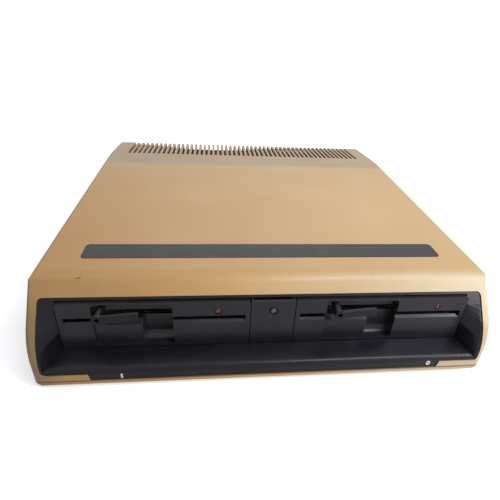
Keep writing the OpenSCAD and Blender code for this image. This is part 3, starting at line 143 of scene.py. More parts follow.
class Net:
    """The node net of one material, which reads places in metres on the object."""

    def __init__(self, name):
        self.material = bpy.data.materials.new(name)
        self.material.use_nodes = True
        self.tree = self.material.node_tree
        self.tree.nodes.clear()
        coordinates = self.tree.nodes.new("ShaderNodeTexCoord")
        self.place = Value(self, coordinates.outputs["Object"])
        split = self.tree.nodes.new("ShaderNodeSeparateXYZ")
        self.tree.links.new(self.place.socket, split.inputs[0])
        self.x, self.y, self.z = (Value(self, output) for output in split.outputs)

    def node(self, kind, settings, inputs, output=0):
        """Adds a node: its settings first, then the values or links of its sockets."""
        made = self.tree.nodes.new(kind)
        for key, setting in settings.items():
            setattr(made, key, setting)
        pairs = inputs.items() if isinstance(inputs, dict) else enumerate(inputs)
        for key, value in pairs:
            if isinstance(value, Value):
                self.tree.links.new(value.socket, made.inputs[key])
            else:
                made.inputs[key].default_value = value
        return Value(self, made.outputs[output])

    def noise(self, per_metre, detail=3.0, roughness=0.5, stretch=None):
        """Cloudy noise from 0 to 1; stretch scales the three axes apart."""
        spot = self.place
        if stretch:
            spot = self.node("ShaderNodeMapping", {}, {"Vector": self.place, "Scale": stretch})
        inputs = {"Vector": spot, "Scale": per_metre, "Detail": detail, "Roughness": roughness}
        return self.node("ShaderNodeTexNoise", {}, inputs)

    def cells(self, per_metre, output=0):
        """Distance to the nearest of many scattered points, or that point's own colour."""
        inputs = {"Vector": self.place, "Scale": per_metre}
        return self.node("ShaderNodeTexVoronoi", {}, inputs, output)

    def stripe(self, axis, pitch):
        """Distance from the middle of the pitch that a point is in, from 0 to 0.5."""
        return ((axis / pitch).math("FRACT") - 0.5).math("ABSOLUTE")

    def blocks(self, length, width):
        """One random number from 0 to 1 for each rectangle of a grid seen from above."""
        grid = (length, width, 1.0)
        corner = self.node("ShaderNodeVectorMath", {"operation": "SNAP"}, [self.place, grid])
        return self.node("ShaderNodeTexWhiteNoise", {}, {"Vector": corner})

    def ramp(self, value, low, high, start=0.0, end=1.0):
        """Runs evenly from start to end while the value goes from low to high."""
        source = {"Value": value, "From Min": low, "From Max": high}
        return self.node("ShaderNodeMapRange", {}, {**source, "To Min": start, "To Max": end})

    def mix(self, share, first, second):
        """Blends two colours."""
        sockets = {0: share, 6: first, 7: second}
        return self.node("ShaderNodeMix", {"data_type": "RGBA"}, sockets, 2)

    def mottle(self, cloud, low, high, first, second):
        """Two colours that change places in clouds; cloud is the noise's scale and detail."""
        return self.mix(self.ramp(self.noise(*cloud), low, high), first, second)

    def facing(self, axis, low, high):
        """How much a face looks along an axis: 0 where that share is low, 1 where it is high."""
        normal = self.node("ShaderNodeNewGeometry", {}, {}, "Normal")
        split = self.node("ShaderNodeSeparateXYZ", {}, [normal], axis)
        return self.ramp(split, low, high)

    def facing_up(self):
        """How much a face looks at the ceiling, where dust settles."""
        return self.facing(2, 0.35, 0.95)

    def bump(self, height, depth):
        """Raises the surface by height times a depth in metres."""
        inputs = {"Height": height, "Distance": depth, "Strength": 1.0}
        return self.node("ShaderNodeBump", {}, inputs)

    def finish(self, colour, roughness, metallic=0.0, normal=None, **constants):
        """Closes the net with its shader; constants are the sockets that never vary."""
        shader = self.tree.nodes.new("ShaderNodeBsdfPrincipled")
        given = {"Base Color": colour, "Roughness": roughness, "Metallic": metallic}
        if normal:
            given["Normal"] = normal
        given.update({key.replace("_", " "): value for key, value in constants.items()})
        for key, value in given.items():
            if isinstance(value, Value):
                self.tree.links.new(value.socket, shader.inputs[key])
            else:
                shader.inputs[key].default_value = value
        output = self.tree.nodes.new("ShaderNodeOutputMaterial")
        self.tree.links.new(shader.outputs[0], output.inputs[0])
        return self.material


# %% [markdown]
# ## Yellowed case plastic
# The cover and the pan were moulded in a warm light grey that has turned to the colour of
# sand over the years. The change is uneven, so two slow noises move between three tones.
# The left part is browner, partly from uneven yellowing and partly as painted shade, since the
# lamps light it less; faces that look left and the lower left of the nose carry more painted
# shade, and the right end of the nose is painted paler as a painted highlight of the main lamp.
# The mould was etched with a fine grain, which is far too small to model and is left to a bump.
# A scuff and brown specks keep the large top from looking like fresh paint, and the rear slope
# is greyer and darker, partly from dust and partly as painted shade.


# %% Case plastic
BAY_Y = -0.184  # what lies before this counts as nose, whichever way it faces
SLOPE_Y = 0.076  # the rear slope begins here
SEAM_Z = 0.01035  # the dark line along the joint of cover and pan
SCUFF_X, SCUFF_Y, SCUFF_Z = -0.1478, -0.1677, 0.078


def case_plastic():
    net = Net("yellowed_case_plastic")
    clouds = net.ramp(net.noise(7, 2), 0.35, 0.65)
    patches = net.ramp(net.noise(2.6, 1), 0.35, 0.65)
    tone = net.mix(clouds, linear(196, 158, 106), linear(203, 168, 117))
    tone = net.mix(patches * 0.5, tone, linear(190, 152, 102))
    # Browner towards the left and front: partly uneven yellowing, partly painted shade where the
    # lamps light less.
    yellowing_and_left_shade = net.ramp(net.x, 0.12, -0.19) * net.ramp(net.y, 0.12, -0.16, 0.55, 1.0)
    tone = net.mix(yellowing_and_left_shade * 0.85, tone, linear(165, 119, 58))
    nose = net.facing(1, -0.15, -0.65).math("MAXIMUM", net.ramp(net.y, BAY_Y, BAY_Y - 0.002))
    # Painted shade: the left end of the nose is darker.
    tone = net.mix(nose * net.ramp(net.x, -0.02, -0.185) * 0.7, tone, linear(142, 111, 72))
    # Painted highlight: the right end of the nose is paler, standing in for the main lamp's glare.
    tone = net.mix(nose * net.ramp(net.x, -0.04, 0.17) * 0.75, tone, linear(189, 175, 146))
    # Painted shade on faces that look left, away from the lamps.
    tone = net.mix(net.facing(0, -0.2, -0.85), tone, linear(118, 91, 58))
    # Painted shade at the lower left corner of the nose.
    nose_corner_painted_shade = nose * net.ramp(net.x, -0.16, -0.178) * net.ramp(net.z, 0.074, 0.058)
    tone = net.mix(nose_corner_painted_shade * 0.6, tone, linear(106, 83, 54))
    smudge = net.ramp(net.noise(28, 4, 0.6), 0.58, 0.8) * 0.22
    tone = net.mix(smudge, tone, linear(172, 141, 100))
    speck = (net.cells(55) < 0.035) * net.ramp(net.noise(11, 0), 0.5, 0.62) * 0.55
    tone = net.mix(speck, tone, linear(120, 90, 60))
    along = net.x - SCUFF_X
    aside = (net.y - SCUFF_Y - along * 0.25).math("ABSOLUTE")
    scuff = (along.math("ABSOLUTE") < 0.002) * (aside < 0.0005) * (net.z > SCUFF_Z)
    tone = net.mix(scuff * net.ramp(net.noise(900, 2), 0.3, 0.6), tone, linear(96, 62, 38))
    seam = net.ramp((net.z - SEAM_Z).math("ABSOLUTE"), 0.0011, 0.0004) * 0.8
    tone = net.mix(seam, tone, linear(96, 66, 40))
    # Greyer towards the rear and most on the rear slope where it looks up: partly dust, partly
    # painted shade on the slope that faces away from the lamps.
    haze = net.ramp(net.y, -0.02, SLOPE_Y) * 0.1
    dust_and_slope_shade = haze + net.ramp(net.y, SLOPE_Y, SLOPE_Y + 0.01) * 0.45
    tone = net.mix(dust_and_slope_shade * net.facing_up(), tone, linear(134, 120, 98))
    grain = net.noise(1900, 2, 0.6)
    worn = net.ramp(net.noise(16, 3), 0.4, 0.7)
    return net.finish(tone, 0.4 - worn * 0.08, normal=net.bump(grain, 0.00005),
                      Specular_IOR_Level=0.5)


beige = case_plastic()
print("case plastic:", len(beige.node_tree.nodes), "nodes")

# %% [markdown]
# ## Dark bay plastic
# The surround, the bezels and the latches are one brown-black plastic with a satin mould
# finish. Up close it is never an even black: a haze of dust lies on whatever faces up and
# fingers have polished some places more than others. Towards the right it is painted a little
# greyer, as painted light from the lamps on that side.


# %% Bay plastic
def bay_plastic(name, tone, dust_share, gloss, sheen):
    net = Net(name)
    deeper = tuple(0.78 * part for part in tone[:3]) + (1,)
    body = net.mottle((14, 2), 0.3, 0.7, tone, deeper)
    # Painted light: lighter and greyer towards the right, where the lamps fall.
    body = net.mix(net.ramp(net.x, -0.03, 0.17) * 0.45, body, linear(44, 42, 50))
    settled = net.facing_up() * net.ramp(net.noise(45, 4, 0.65), 0.42, 0.75) * dust_share
    lint = (net.cells(310) < 0.05) * net.ramp(net.noise(70, 1), 0.5, 0.6) * 0.25
    body = net.mix(settled + lint, body, linear(84, 82, 90))
    polish = net.ramp(net.noise(33, 3), 0.35, 0.7)
    grain = net.noise(2300, 2, 0.55)
    return net.finish(body, gloss + settled * 0.3 - polish * 0.06, normal=net.bump(grain, 0.00004),
                      Specular_IOR_Level=sheen)


surround_dark = bay_plastic("surround_plastic", linear(17, 15, 21), 0.05, 0.32, 0.24)
bezel_dark = bay_plastic("bezel_plastic", linear(26, 22, 28), 0.05, 0.3, 0.32)
latch_dark = bay_plastic("latch_plastic", linear(22, 18, 22), 0.03, 0.26, 0.2)
print("bay plastics:", surround_dark.name, bezel_dark.name, latch_dark.name)

# %% [markdown]
# ## Plate and lenses
# The bare plate on the top is a strip of dark anodised foil with a faint grain along its
# length. The lamps are moulded lenses: even when they are off they look a little lighter in
# the middle, because the dye looks strongest at the rim.


# %% Plate and lens materials
def plate_foil():
    net = Net("dark_plate_foil")
    brushed = net.noise(900, 2, 0.5, (0.03, 1, 1))
    tone = net.mix(net.ramp(brushed, 0.35, 0.65), linear(40, 39, 41), linear(47, 46, 47))
    tone = net.mix(net.ramp(net.noise(40, 3), 0.6, 0.8) * 0.3, tone, linear(104, 98, 92))
    return net.finish(tone, 0.4 + net.noise(60, 2) * 0.1, normal=net.bump(brushed, 0.00001),
                      Specular_IOR_Level=0.35)


def lens_plastic(name, rim, heart, middles):
    """A tinted lens that is lighter near its middle; middles are (x, z) in metres."""
    net = Net(name)
    share = 0.0
    for x, z in middles:
        reach = ((net.x - x) * (net.x - x) + (net.z - z) * (net.z - z)).math("SQRT")
        share = net.ramp(reach, 0.0022, 0.0004) + share
    tone = net.mix(share * 0.8, rim, heart)
    ripple = net.noise(900, 1)
    return net.finish(tone, 0.16, normal=net.bump(ripple, 0.00001), Specular_IOR_Level=0.5)


foil = plate_foil()
print("plate:", foil.name)

# %% [markdown]
# ## Metals, boards and mouldings inside
# Most of these pieces only show once the cover is off, but each still has its own finish:
# zinc-plated sheet with its faint crystals, matt cast alloy, ground steel, green lacquered
# boards with tinned pads, black mouldings and so on. The patterns follow the real pitch of
# such parts, such as 2.54 mm between pads.


# %% Metals
def plated_sheet():
    net = Net("zinc_plated_sheet")
    crystals = net.cells(140, 1)
    grey = net.node("ShaderNodeRGBToBW", {}, [crystals])
    tone = net.mix(grey, linear(158, 158, 155), linear(178, 178, 176))
    stain = net.ramp(net.noise(22, 4), 0.58, 0.78) * 0.3
    tone = net.mix(stain, tone, linear(140, 128, 108))
    dull = 0.34 + grey * 0.12 + stain * 0.3
    return net.finish(tone, dull, 1.0, net.bump(net.noise(420, 2), 0.00002))


def cast_alloy():
    net = Net("cast_alloy")
    skin = net.noise(700, 4, 0.6)
    tone = net.mottle((30, 3), 0.3, 0.7, linear(150, 151, 153), linear(166, 167, 168))
    return net.finish(tone, 0.5 + skin * 0.12, 0.9, net.bump(skin, 0.00012))


def ground_steel():
    net = Net("ground_steel")
    lines = net.noise(2600, 1, 0.5, (1, 0.05, 1))
    tone = net.mottle((50, 2), 0.3, 0.7, linear(182, 182, 184), linear(196, 196, 197))
    return net.finish(tone, 0.2 + lines * 0.14, 1.0, net.bump(lines, 0.00001))


zinc, alloy, steel = plated_sheet(), cast_alloy(), ground_steel()
print("metals:", zinc.name, alloy.name, steel.name)


# %% Boards and what stands on them
PIN_PITCH = 0.00254
BOARD_THICK = 0.0016
HAIR = 0.0001  # keeps a face that lies on a limit on the right side of it


def lacquered_board(name, board_low, board_high):
    """Green board between two heights; what is above is black moulding, below is plated steel."""
    net = Net(name)
    column, row = net.stripe(net.x, PIN_PITCH), net.stripe(net.y, PIN_PITCH)
    pad = (column < 0.2) * (row < 0.2) * (net.blocks(10 * PIN_PITCH, 4 * PIN_PITCH) > 0.6)
    lanes = net.blocks(12 * PIN_PITCH, 8 * PIN_PITCH) > 0.5
    track = (column > 0.36) * (1 - lanes) + (row > 0.38) * lanes
    green = net.mix(track * 0.6, linear(20, 70, 42), linear(34, 96, 58))
    green = net.mix(pad, green, linear(196, 194, 186))
    above = net.z > board_high + HAIR
    below = net.z < board_low - HAIR
    tone = net.mix(above, green, linear(24, 24, 26))
    tone = net.mix(below, tone, linear(170, 170, 168))
    flat = (1 - above) * (1 - below)
    return net.finish(tone, 0.3 + above * 0.15, below * 0.95 + pad * flat * 0.9,
                      net.bump(track * flat, 0.00004))


def black_moulding(name="black_moulding", gloss=0.4):
    net = Net(name)
    tone = net.mottle((40, 2), 0.3, 0.7, linear(24, 24, 26), linear(32, 31, 33))
    return net.finish(tone, gloss + net.noise(90, 2) * 0.12,
                      normal=net.bump(net.noise(1800, 2), 0.00005))


def chip_epoxy():
    net = Net("chip_epoxy")
    leads = net.ramp((net.x / PIN_PITCH).math("FRACT"), 0.42, 0.46)
    tone = net.mottle((800, 2), 0.3, 0.7, linear(26, 26, 27), linear(36, 36, 37))
    return net.finish(tone, 0.55 - leads * 0.06, normal=net.bump(net.noise(2600, 2), 0.00003))


black = black_moulding()
chip_black = chip_epoxy()
print("mouldings:", black.name, chip_black.name)


# %% Wound, wired and rubber parts
def capacitor_sleeve(top):
    """Shrunk blue sleeve with a light stripe, and the bare metal disc at the top."""
    net = Net("capacitor_sleeve")
    bare = net.z > top - 0.0016
    seam = ((net.x * 900).math("SINE") > 0.985) * 0.6
    tone = net.mix(seam, linear(38, 62, 122), linear(190, 196, 206))
    tone = net.mix(bare, tone, linear(188, 188, 188))
    return net.finish(tone, 0.28 + net.noise(70, 2) * 0.1, bare * 0.95,
                      net.bump(net.noise(500, 2), 0.00003))


def transformer_core(half_depth, middle_y, strap_top):
    """Stacked plates in the middle, copper wire before and behind them, a strap below."""
    net = Net("transformer_core")
    away = (net.y - middle_y).math("ABSOLUTE")
    wound = away > half_depth + HAIR
    strap = net.z < strap_top
    plates = net.stripe(net.y, 0.0007)
    tone = net.mix(net.ramp(plates, 0.1, 0.4), linear(62, 60, 60), linear(88, 86, 85))
    wire = net.stripe(net.z, 0.0009)
    copper = net.mix(net.ramp(wire, 0.15, 0.45), linear(120, 62, 34), linear(176, 98, 58))
    tone = net.mix(wound, tone, copper)
    tone = net.mix(strap, tone, linear(168, 168, 166))
    return net.finish(tone, 0.42 + net.noise(60, 2) * 0.1, 0.85,
                      net.bump(plates + wire * wound, 0.00008))


def ribbon_strands(plug_pairs):
    """Grey flat cable with ribs, and black plugs between the given pairs of (low, high) in z."""
    net = Net("ribbon_cable")
    rib = net.stripe(net.x, PIN_PITCH / 2)
    tone = net.mix(net.ramp(rib, 0.25, 0.5), linear(150, 150, 154), linear(118, 118, 124))
    plug = 0.0
    for low, high in plug_pairs:
        plug = (net.z > low) * (net.z < high) + plug
    tone = net.mix(plug, tone, linear(26, 26, 28))
    return net.finish(tone, 0.45, normal=net.bump(rib, 0.0004))


def rubber():
    net = Net("black_rubber")
    tone = net.mottle((120, 3), 0.35, 0.7, linear(28, 27, 27), linear(44, 42, 41))
    return net.finish(tone, 0.78, normal=net.bump(net.noise(1500, 3), 0.00008),
                      Specular_IOR_Level=0.3)


def fuse_glass(low_y, high_y, middle_x):
    """A glass tube along Y with a metal cap at each end and a thin wire in the middle."""
    net = Net("fuse_glass_and_caps")
    cap_length = 0.005
    cap = (net.y < low_y + cap_length) + (net.y > high_y - cap_length)
    wire = ((net.x - middle_x).math("ABSOLUTE") < 0.0002) * (1 - cap)
    tone = net.mix(cap, linear(205, 212, 212), linear(190, 188, 184))
    tone = net.mix(wire, tone, linear(120, 110, 100))
    return net.finish(tone, 0.12 + cap * 0.2, cap, net.bump(net.noise(400, 1), 0.00001))


grip_rubber = rubber()
print("rubber:", grip_rubber.name)

# %% [markdown]
# ## Give every carried-over node its finish
# A node whose shape is already right keeps its mesh and only gets a material. Some hold
# several finishes in one piece, such as a board with its header, and there the material tells
# them apart by their height or depth, read from the node's own box.


# %% Finish for each node
def dress(node, material):
    """Gives a node of the frame this one material."""
    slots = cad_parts[node].data.materials
    slots.clear()
    slots.append(material)


def box_of(node):
    """The lowest and the highest corner of a node."""
    low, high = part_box(node)
    return Vector(low), Vector(high)


chips_low = box_of("board_chips")[0].z
main_lacquer = lacquered_board("controller_board_lacquer", chips_low - BOARD_THICK, chips_low)
dress("main_board", main_lacquer)
dress("board_chips", chip_black)
CORE_HALF_DEPTH, STRAP_THICK = 0.013, 0.002
core_low, core_high = box_of("transformer")
core_y = (core_low.y + core_high.y) / 2
dress("transformer", transformer_core(CORE_HALF_DEPTH, core_y, core_low.z + STRAP_THICK))
dress("smoothing_capacitors", capacitor_sleeve(box_of("smoothing_capacitors")[1].z))
PLUG_HIGH, PAST_END = 0.006, 0.001
ribbon_low, ribbon_high = box_of("drive_ribbons")
plugs = [(ribbon_low.z - PAST_END, ribbon_low.z + PLUG_HIGH),
         (ribbon_high.z - PLUG_HIGH - HAIR, ribbon_high.z + PAST_END)]
dress("drive_ribbons", ribbon_strands(plugs))
fuse_low, fuse_high = box_of("mains_fuse")
dress("mains_fuse", fuse_glass(fuse_low.y, fuse_high.y, (fuse_low.x + fuse_high.x) / 2))
for node in ("drive_brackets", "inner_screws"):
    dress(node, zinc)
dress("heat_sink", alloy)

for side in ("left", "right"):
    for name in ("motor_board", "logic_board"):
        board = side + "_" + name
        bottom = box_of(board)[0].z
        dress(board, lacquered_board(board + "_lacquer", bottom, bottom + BOARD_THICK))
    dress(side + "_chassis", alloy)
    for name in ("shaft_bridge", "clamp_arm", "stepper_motor"):
        dress(side + "_" + name, zinc)
    for name in ("lever_shaft", "spindle", "spindle_bearings", "guide_rails", "capstan",
                 "drive_band"):
        dress(side + "_" + name, steel)
    for name in ("clamp_cone", "head_carriage", "head_arm"):
        dress(side + "_" + name, black)
dressed = [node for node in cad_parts.values() if node.data.materials]
print("finished nodes so far:", len(dressed))

# %% [markdown]
# ## Moulded shells with rounded corners
# No real moulding has a knife edge, and the thin bright lines along the case's corners are
# what makes it read as plastic. The shells' meshes are copied, their doubled vertices merged
# and their flat faces made whole again, and then every sharp edge gets a small bevel. A
# Weighted Normal modifier keeps the big flat faces flat under smooth shading. The copy stands
# for the original, which stays hidden in the frame.


# %% Copy a shell and round its edges
FLAT_WITHIN = 0.6  # degrees between faces that were one flat face before the mesh was cut up


def shell_mesh(node, width, segments=2, sharper_than=28.0):
    """A merged copy of a node's mesh with its sharp edges bevelled."""
    form = bmesh.new()
    form.from_mesh(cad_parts[node].data)
    bmesh.ops.remove_doubles(form, verts=form.verts, dist=2e-6)
    bmesh.ops.dissolve_limit(form, angle_limit=math.radians(FLAT_WITHIN), verts=form.verts,
                             edges=form.edges)
    sharp = [edge for edge in form.edges
             if edge.is_manifold and edge.calc_face_angle(0) > math.radians(sharper_than)]
    bmesh.ops.bevel(form, geom=sharp, offset=width, offset_type="OFFSET", segments=segments,
                    profile=0.5, affect="EDGES", clamp_overlap=True, material=-1)
    return form


def place_piece(name, form, material, body, slot, *replaced):
    """Turns a bmesh into a named piece that rides on a body."""
    mesh = bpy.data.meshes.new(name)
    for face in form.faces:
        face.smooth = True
    form.to_mesh(mesh)
    form.free()
    mesh.materials.append(material)
    piece = add_object(name, mesh)
    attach(piece, body)
    if replaced:
        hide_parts(*replaced)
    return piece


def flat_normals(piece, weight=90):
    """Lets big faces steer the shading at their edges; a lower weight steers less."""
    even = piece.modifiers.new("even_normals", "WEIGHTED_NORMAL")
    even.keep_sharp = True
    even.weight = weight
    return piece


def round_shell(node, width, material, body, slot, segments=2, sharper_than=28.0, weight=90):
    """Puts a copy with bevels of the given width in metres in the place of a node."""
    form = shell_mesh(node, width, segments, sharper_than)
    piece = place_piece(node + "_shell", form, material, body, slot, node)
    print(node, "->", len(piece.data.polygons), "faces")
    return flat_normals(piece, weight)


# %% Case shells
round_shell("top_cover", 0.0005, beige, "case", "top_cover")
round_shell("base_pan", 0.0004, beige, "case", "base_pan")
round_shell("front_surround", 0.0008, surround_dark, "case", "front_surround", segments=3,
            sharper_than=35, weight=50)
round_shell("centre_panel", 0.0003, bezel_dark, "case", "centre_panel")
round_shell("name_plate", 0.00012, foil, "case", "name_plate")

# %% Bezels and latches
for side in ("left", "right"):
    round_shell(side + "_bezel", 0.0006, bezel_dark, "case", "bezel", segments=3)
    round_shell(side + "_lever", 0.0005, latch_dark, side + "_lever", "lever", segments=3)

# %% Rear panel and its fittings
round_shell("rear_panel", 0.0003, zinc, "case", "rear_panel")
round_shell("mains_inlet", 0.0004, black, "case", "mains_inlet")
round_shell("fuse_holder", 0.0003, black, "case", "fuse_holder")
round_shell("fuse_cap", 0.0006, black, "fuse_cap", "fuse_cap", segments=3)
round_shell("power_switch", 0.0004, black, "case", "power_switch")
rocker_black = black_moulding("rocker_plastic", 0.3)
round_shell("switch_rocker", 0.0005, rocker_black, "switch_rocker", "switch_rocker")
round_shell("data_connector", 0.0004, zinc, "case", "data_connector")
round_shell("rubber_feet", 0.0008, grip_rubber, "case", "rubber_feet", segments=3)

# %% [markdown]
# ## Lenses
# Each lens is a short rod with a domed face. Its profile is half of a section, drawn from the
# middle of the dome out to the rim and back along the rod, and spun once round the axis.


# %% Spin the lenses
LENS_RADIUS, FLANGE_RADIUS, FLANGE_THICK = 0.0024, 0.0034, 0.001
DOME_STEPS = 6


def spun(outline, axis, steps):
    """Turns a line of points once round an axis through the origin."""
    form = bmesh.new()
    verts = [form.verts.new(point) for point in outline]
    edges = [form.edges.new(pair) for pair in zip(verts, verts[1:])]
    bmesh.ops.spin(form, geom=verts + edges, cent=(0, 0, 0), axis=axis, angle=2 * math.pi,
                   steps=steps, use_merge=True)
    bmesh.ops.remove_doubles(form, verts=form.verts, dist=1e-6)
    bmesh.ops.recalc_face_normals(form, faces=form.faces)
    return form


def lens_form(middle, face_y, end_y, bulge, flange_y):
    """A domed rod that looks towards -Y, with a thin flange behind the panel."""
    outline = []
    for step in range(DOME_STEPS + 1):
        turn = step * math.pi / 2 / DOME_STEPS
        outline.append((LENS_RADIUS * math.sin(turn), face_y + bulge * (1 - math.cos(turn))))
    flange_end = flange_y + FLANGE_THICK
    outline += [(LENS_RADIUS, flange_y), (FLANGE_RADIUS, flange_y),
                (FLANGE_RADIUS, flange_end), (LENS_RADIUS, flange_end),
                (LENS_RADIUS, end_y), (0.0, end_y)]
    form = spun([(reach, y, 0) for reach, y in outline], (0, 1, 0), 32)
    bmesh.ops.translate(form, verts=form.verts, vec=(middle[0], 0, middle[1]))
    return form


def middle_of(node):
    """The middle of a node as seen from the front, as (x, z)."""
    low, high = box_of(node)
    return (low.x + high.x) / 2, (low.z + high.z) / 2


spot = middle_of("power_lamp")
low, high = box_of("power_lamp")
clear = lens_plastic("clear_lamp_lens", linear(50, 50, 56), linear(88, 88, 94), [spot])
form = lens_form(spot, low.y, high.y, 0.0009, low.y + 0.0036)
flat_normals(place_piece("power_lamp_lens", form, clear, "case", "power_lamp", "power_lamp"))

middles = [middle_of(side + "_activity_lamp") for side in ("left", "right")]
red = lens_plastic("red_lamp_lens", linear(66, 5, 10), linear(140, 20, 24), middles)
for side, spot in zip(("left", "right"), middles):
    node = side + "_activity_lamp"
    low, high = box_of(node)
    form = lens_form(spot, low.y, high.y, 0.0014, high.y - 0.0011)
    flat_normals(place_piece(side + "_activity_lens", form, red, "case", "activity_lamp", node))
print("lenses at", [(round(x, 4), round(z, 4)) for x, z in middles])

# %% [markdown]
# ## Screws under the case
# Four pan-head screws with a cross recess hold the pan to the cover. A screw is spun from half
# of its section, and the cross is made by sinking those wedges of the head's flat face that
# lie along X and Y.


# %% Case screws
HEAD_RADIUS, HEAD_HEIGHT, SHANK_RADIUS, THREAD_PITCH = 0.0037, 0.0026, 0.002, 0.0014
RECESS_DEPTH = 0.0008


def off_axis(face):
    """Angle in degrees from a face's middle to the nearest arm of a cross along X and Y."""
    middle = face.calc_center_median()
    turn = abs(math.degrees(math.atan2(middle.y, middle.x))) % 90
    return min(turn, 90 - turn)


def screw_form(x, y, head_z, tip_z):
    """A screw from its head at the bottom up to its tip, with a cross sunk into the head."""
    shoulder_z = head_z + HEAD_HEIGHT
    outline = [(0.0, head_z), (HEAD_RADIUS * 0.6, head_z),
               (HEAD_RADIUS * 0.9, shoulder_z - HEAD_HEIGHT * 0.7),
               (HEAD_RADIUS, shoulder_z - HEAD_HEIGHT * 0.2),
               (HEAD_RADIUS, shoulder_z), (SHANK_RADIUS, shoulder_z)]
    for turn in range(int((tip_z - shoulder_z) / THREAD_PITCH)):
        z = shoulder_z + 0.001 + turn * THREAD_PITCH
        outline += [(SHANK_RADIUS, z), (SHANK_RADIUS * 0.84, z + THREAD_PITCH / 2)]
    outline += [(SHANK_RADIUS * 0.8, tip_z), (0.0, tip_z)]
    form = spun([(reach, 0, z) for reach, z in outline], (0, 0, 1), 24)
    flat = [face for face in form.faces
            if face.normal.z < -0.9 and face.calc_center_median().z < head_z + HEAD_HEIGHT * 0.1]
    bmesh.ops.inset_region(form, faces=flat, thickness=HEAD_RADIUS * 0.22, depth=0.0)
    cross = [face for face in flat if face.is_valid and off_axis(face) < 12]
    bmesh.ops.inset_region(form, faces=cross, thickness=0.00004, depth=-RECESS_DEPTH)
    bmesh.ops.translate(form, verts=form.verts, vec=(x, y, 0))
    return form


screw_low, screw_high = box_of("case_screws")
case_screws = bmesh.new()
for x in (screw_low.x + HEAD_RADIUS, screw_high.x - HEAD_RADIUS):
    for y in (screw_low.y + HEAD_RADIUS, screw_high.y - HEAD_RADIUS):
        single = screw_form(x, y, screw_low.z, screw_high.z)
        mesh = bpy.data.meshes.new("one_screw")
        single.to_mesh(mesh)
        single.free()
        case_screws.from_mesh(mesh)
        bpy.data.meshes.remove(mesh)
flat_normals(place_piece("case_screw_set", case_screws, steel, "case", "case_screws",
                         "case_screws"))
print("case screws from z", round(screw_low.z, 4), "to", round(screw_high.z, 4))

# %% [markdown]
# ## Plain numbers on the tab
# The tab under the bay numbers the drives. A number is a text object turned into a mesh, laid
# on the tab's face and given a little paint thickness.


# %% Numbers
DIGIT_SIZE, WIDEN, STROKE_SWELL, PAINT_THICK = 0.0058, 1.15, 0.0004, 0.00005
tab_y = box_of("front_surround")[0].y - 0.00002


def paint_material():
    net = Net("number_paint")
    tone = net.mottle((1500, 2), 0.35, 0.6, linear(206, 202, 192), linear(186, 180, 168))
    return net.finish(tone, 0.5, normal=net.bump(net.noise(1800, 1), 0.00002))


paint = paint_material()
for digit, x, z in (("1", -0.1177, 0.0133), ("0", 0.1337, 0.0145)):
    words = bpy.data.curves.new("number_" + digit, "FONT")
    words.body = digit
    words.size = DIGIT_SIZE
    words.extrude = PAINT_THICK
    words.offset = STROKE_SWELL
    words.align_x, words.align_y = "CENTER", "CENTER"
    shape = add_object("number_text_" + digit, words)
    ready = shape.evaluated_get(bpy.context.evaluated_depsgraph_get())
    flat = bpy.data.meshes.new_from_object(ready)
    bpy.data.objects.remove(shape)
    form = bmesh.new()
    form.from_mesh(flat)
    upright = Matrix.Rotation(math.pi / 2, 3, "X")
    bmesh.ops.scale(form, vec=(WIDEN, 1, 1), verts=form.verts)
    bmesh.ops.rotate(form, cent=(0, 0, 0), matrix=upright, verts=form.verts)
    bmesh.ops.translate(form, verts=form.verts, vec=(x, tab_y, z))
    piece = place_piece("number_" + digit, form, paint, "case", "front_surround")
    for face in piece.data.polygons:
        face.use_smooth = False
    print("number", digit, "at", x, z)

# %% [markdown]
# ## Floor and light
# The object stands on a plain white sheet in soft light. The sheet runs to the horizon, and
# the camera sees it near white, while its shadow under the case stays. The main lamp is a big
# panel before the right of the front, so that the nose of the cover catches it most on that
# side. A narrow cool one above it gives the nose and the dark plastics their sheen, and weaker
# ones above and behind keep the top and the far edges from going dead. The sky is white where
# the camera, a reflection or a clear piece looks at it, and much dimmer as a light.


# %% Floor
def floor_material():
    net = Net("white_sheet")
    shader = net.tree.nodes.new("ShaderNodeBsdfDiffuse")
    shader.inputs[0].default_value = (0.86, 0.86, 0.86, 1)
    glow = net.tree.nodes.new("ShaderNodeEmission")
    ray = net.tree.nodes.new("ShaderNodeLightPath")
    far = (net.x * net.x + net.y * net.y).math("SQRT")
    strength = Value(net, ray.outputs["Is Camera Ray"]) * net.ramp(far, 0.25, 1.1, 0.5, 1.25)
    net.tree.links.new(strength.socket, glow.inputs["Strength"])
    total = net.tree.nodes.new("ShaderNodeAddShader")
    net.tree.links.new(shader.outputs[0], total.inputs[0])
    net.tree.links.new(glow.outputs[0], total.inputs[1])
    output = net.tree.nodes.new("ShaderNodeOutputMaterial")
    net.tree.links.new(total.outputs[0], output.inputs[0])
    return net.material


sheet = bmesh.new()
bmesh.ops.create_grid(sheet, x_segments=1, y_segments=1, size=30)
floor_mesh = bpy.data.meshes.new("floor_sheet")
sheet.to_mesh(floor_mesh)
sheet.free()
floor_mesh.materials.append(floor_material())
floor = add_object("floor_sheet", floor_mesh)
print("floor at z = 0")


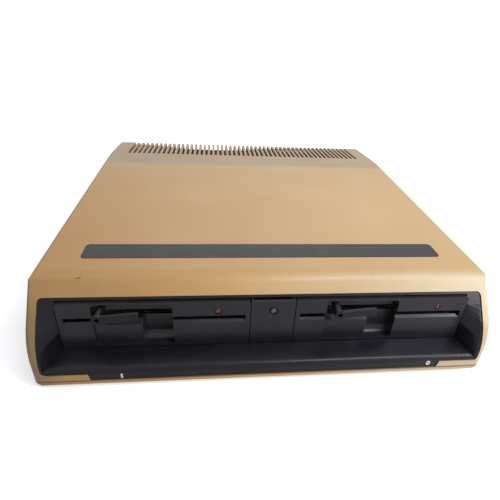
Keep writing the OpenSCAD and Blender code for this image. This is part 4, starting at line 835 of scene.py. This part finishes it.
# %% Lights
def soft_lamp(name, place, target, size, watts, colour=(1, 1, 1)):
    """An area lamp that looks from its place at a target; size is (width, height)."""
    lamp = bpy.data.lights.new(name, "AREA")
    lamp.shape = "RECTANGLE"
    lamp.size, lamp.size_y = size
    lamp.energy = watts
    lamp.color = colour
    holder = add_object(name, lamp)
    aim = (Vector(target) - Vector(place)).to_track_quat("-Z", "Y")
    holder.matrix_world = Matrix.Translation(place) @ aim.to_matrix().to_4x4()


soft_lamp("main_panel", (1.4, -0.95, 0.95), (0.05, -0.1, 0.04), (0.6, 0.6), 27,
          (1, 0.985, 0.955))
soft_lamp("top_panel", (-0.1, 0.1, 1.7), (0, 0, 0.05), (1.4, 1.2), 3, (0.97, 0.98, 1))
soft_lamp("cool_strip", (0.62, -0.8, 1.5), (0.08, -0.18, 0.03), (0.8, 0.2), 12,
          (0.78, 0.87, 1))
soft_lamp("rear_panel_light", (0.2, 1.3, 1.2), (0, 0, 0.03), (1.2, 0.8), 3)

SKY_AS_LIGHT = 0.26
world = bpy.data.worlds.new("studio")
bpy.context.scene.world = world
world.use_nodes = True
tree = world.node_tree
tree.nodes.clear()
ray = tree.nodes.new("ShaderNodeLightPath")
seen = ray.outputs["Is Camera Ray"]
for other in ("Is Transmission Ray", "Is Glossy Ray"):
    either = tree.nodes.new("ShaderNodeMath")
    either.operation = "MAXIMUM"
    tree.links.new(seen, either.inputs[0])
    tree.links.new(ray.outputs[other], either.inputs[1])
    seen = either.outputs[0]
strength = tree.nodes.new("ShaderNodeMapRange")
strength.inputs["To Min"].default_value = SKY_AS_LIGHT
strength.inputs["To Max"].default_value = 1.0
tree.links.new(seen, strength.inputs["Value"])
sky = tree.nodes.new("ShaderNodeBackground")
sky.inputs["Color"].default_value = (1, 1, 1, 1)
tree.links.new(strength.outputs["Result"], sky.inputs["Strength"])
end = tree.nodes.new("ShaderNodeOutputWorld")
tree.links.new(sky.outputs[0], end.inputs[0])
bpy.context.scene.view_settings.view_transform = "Standard"
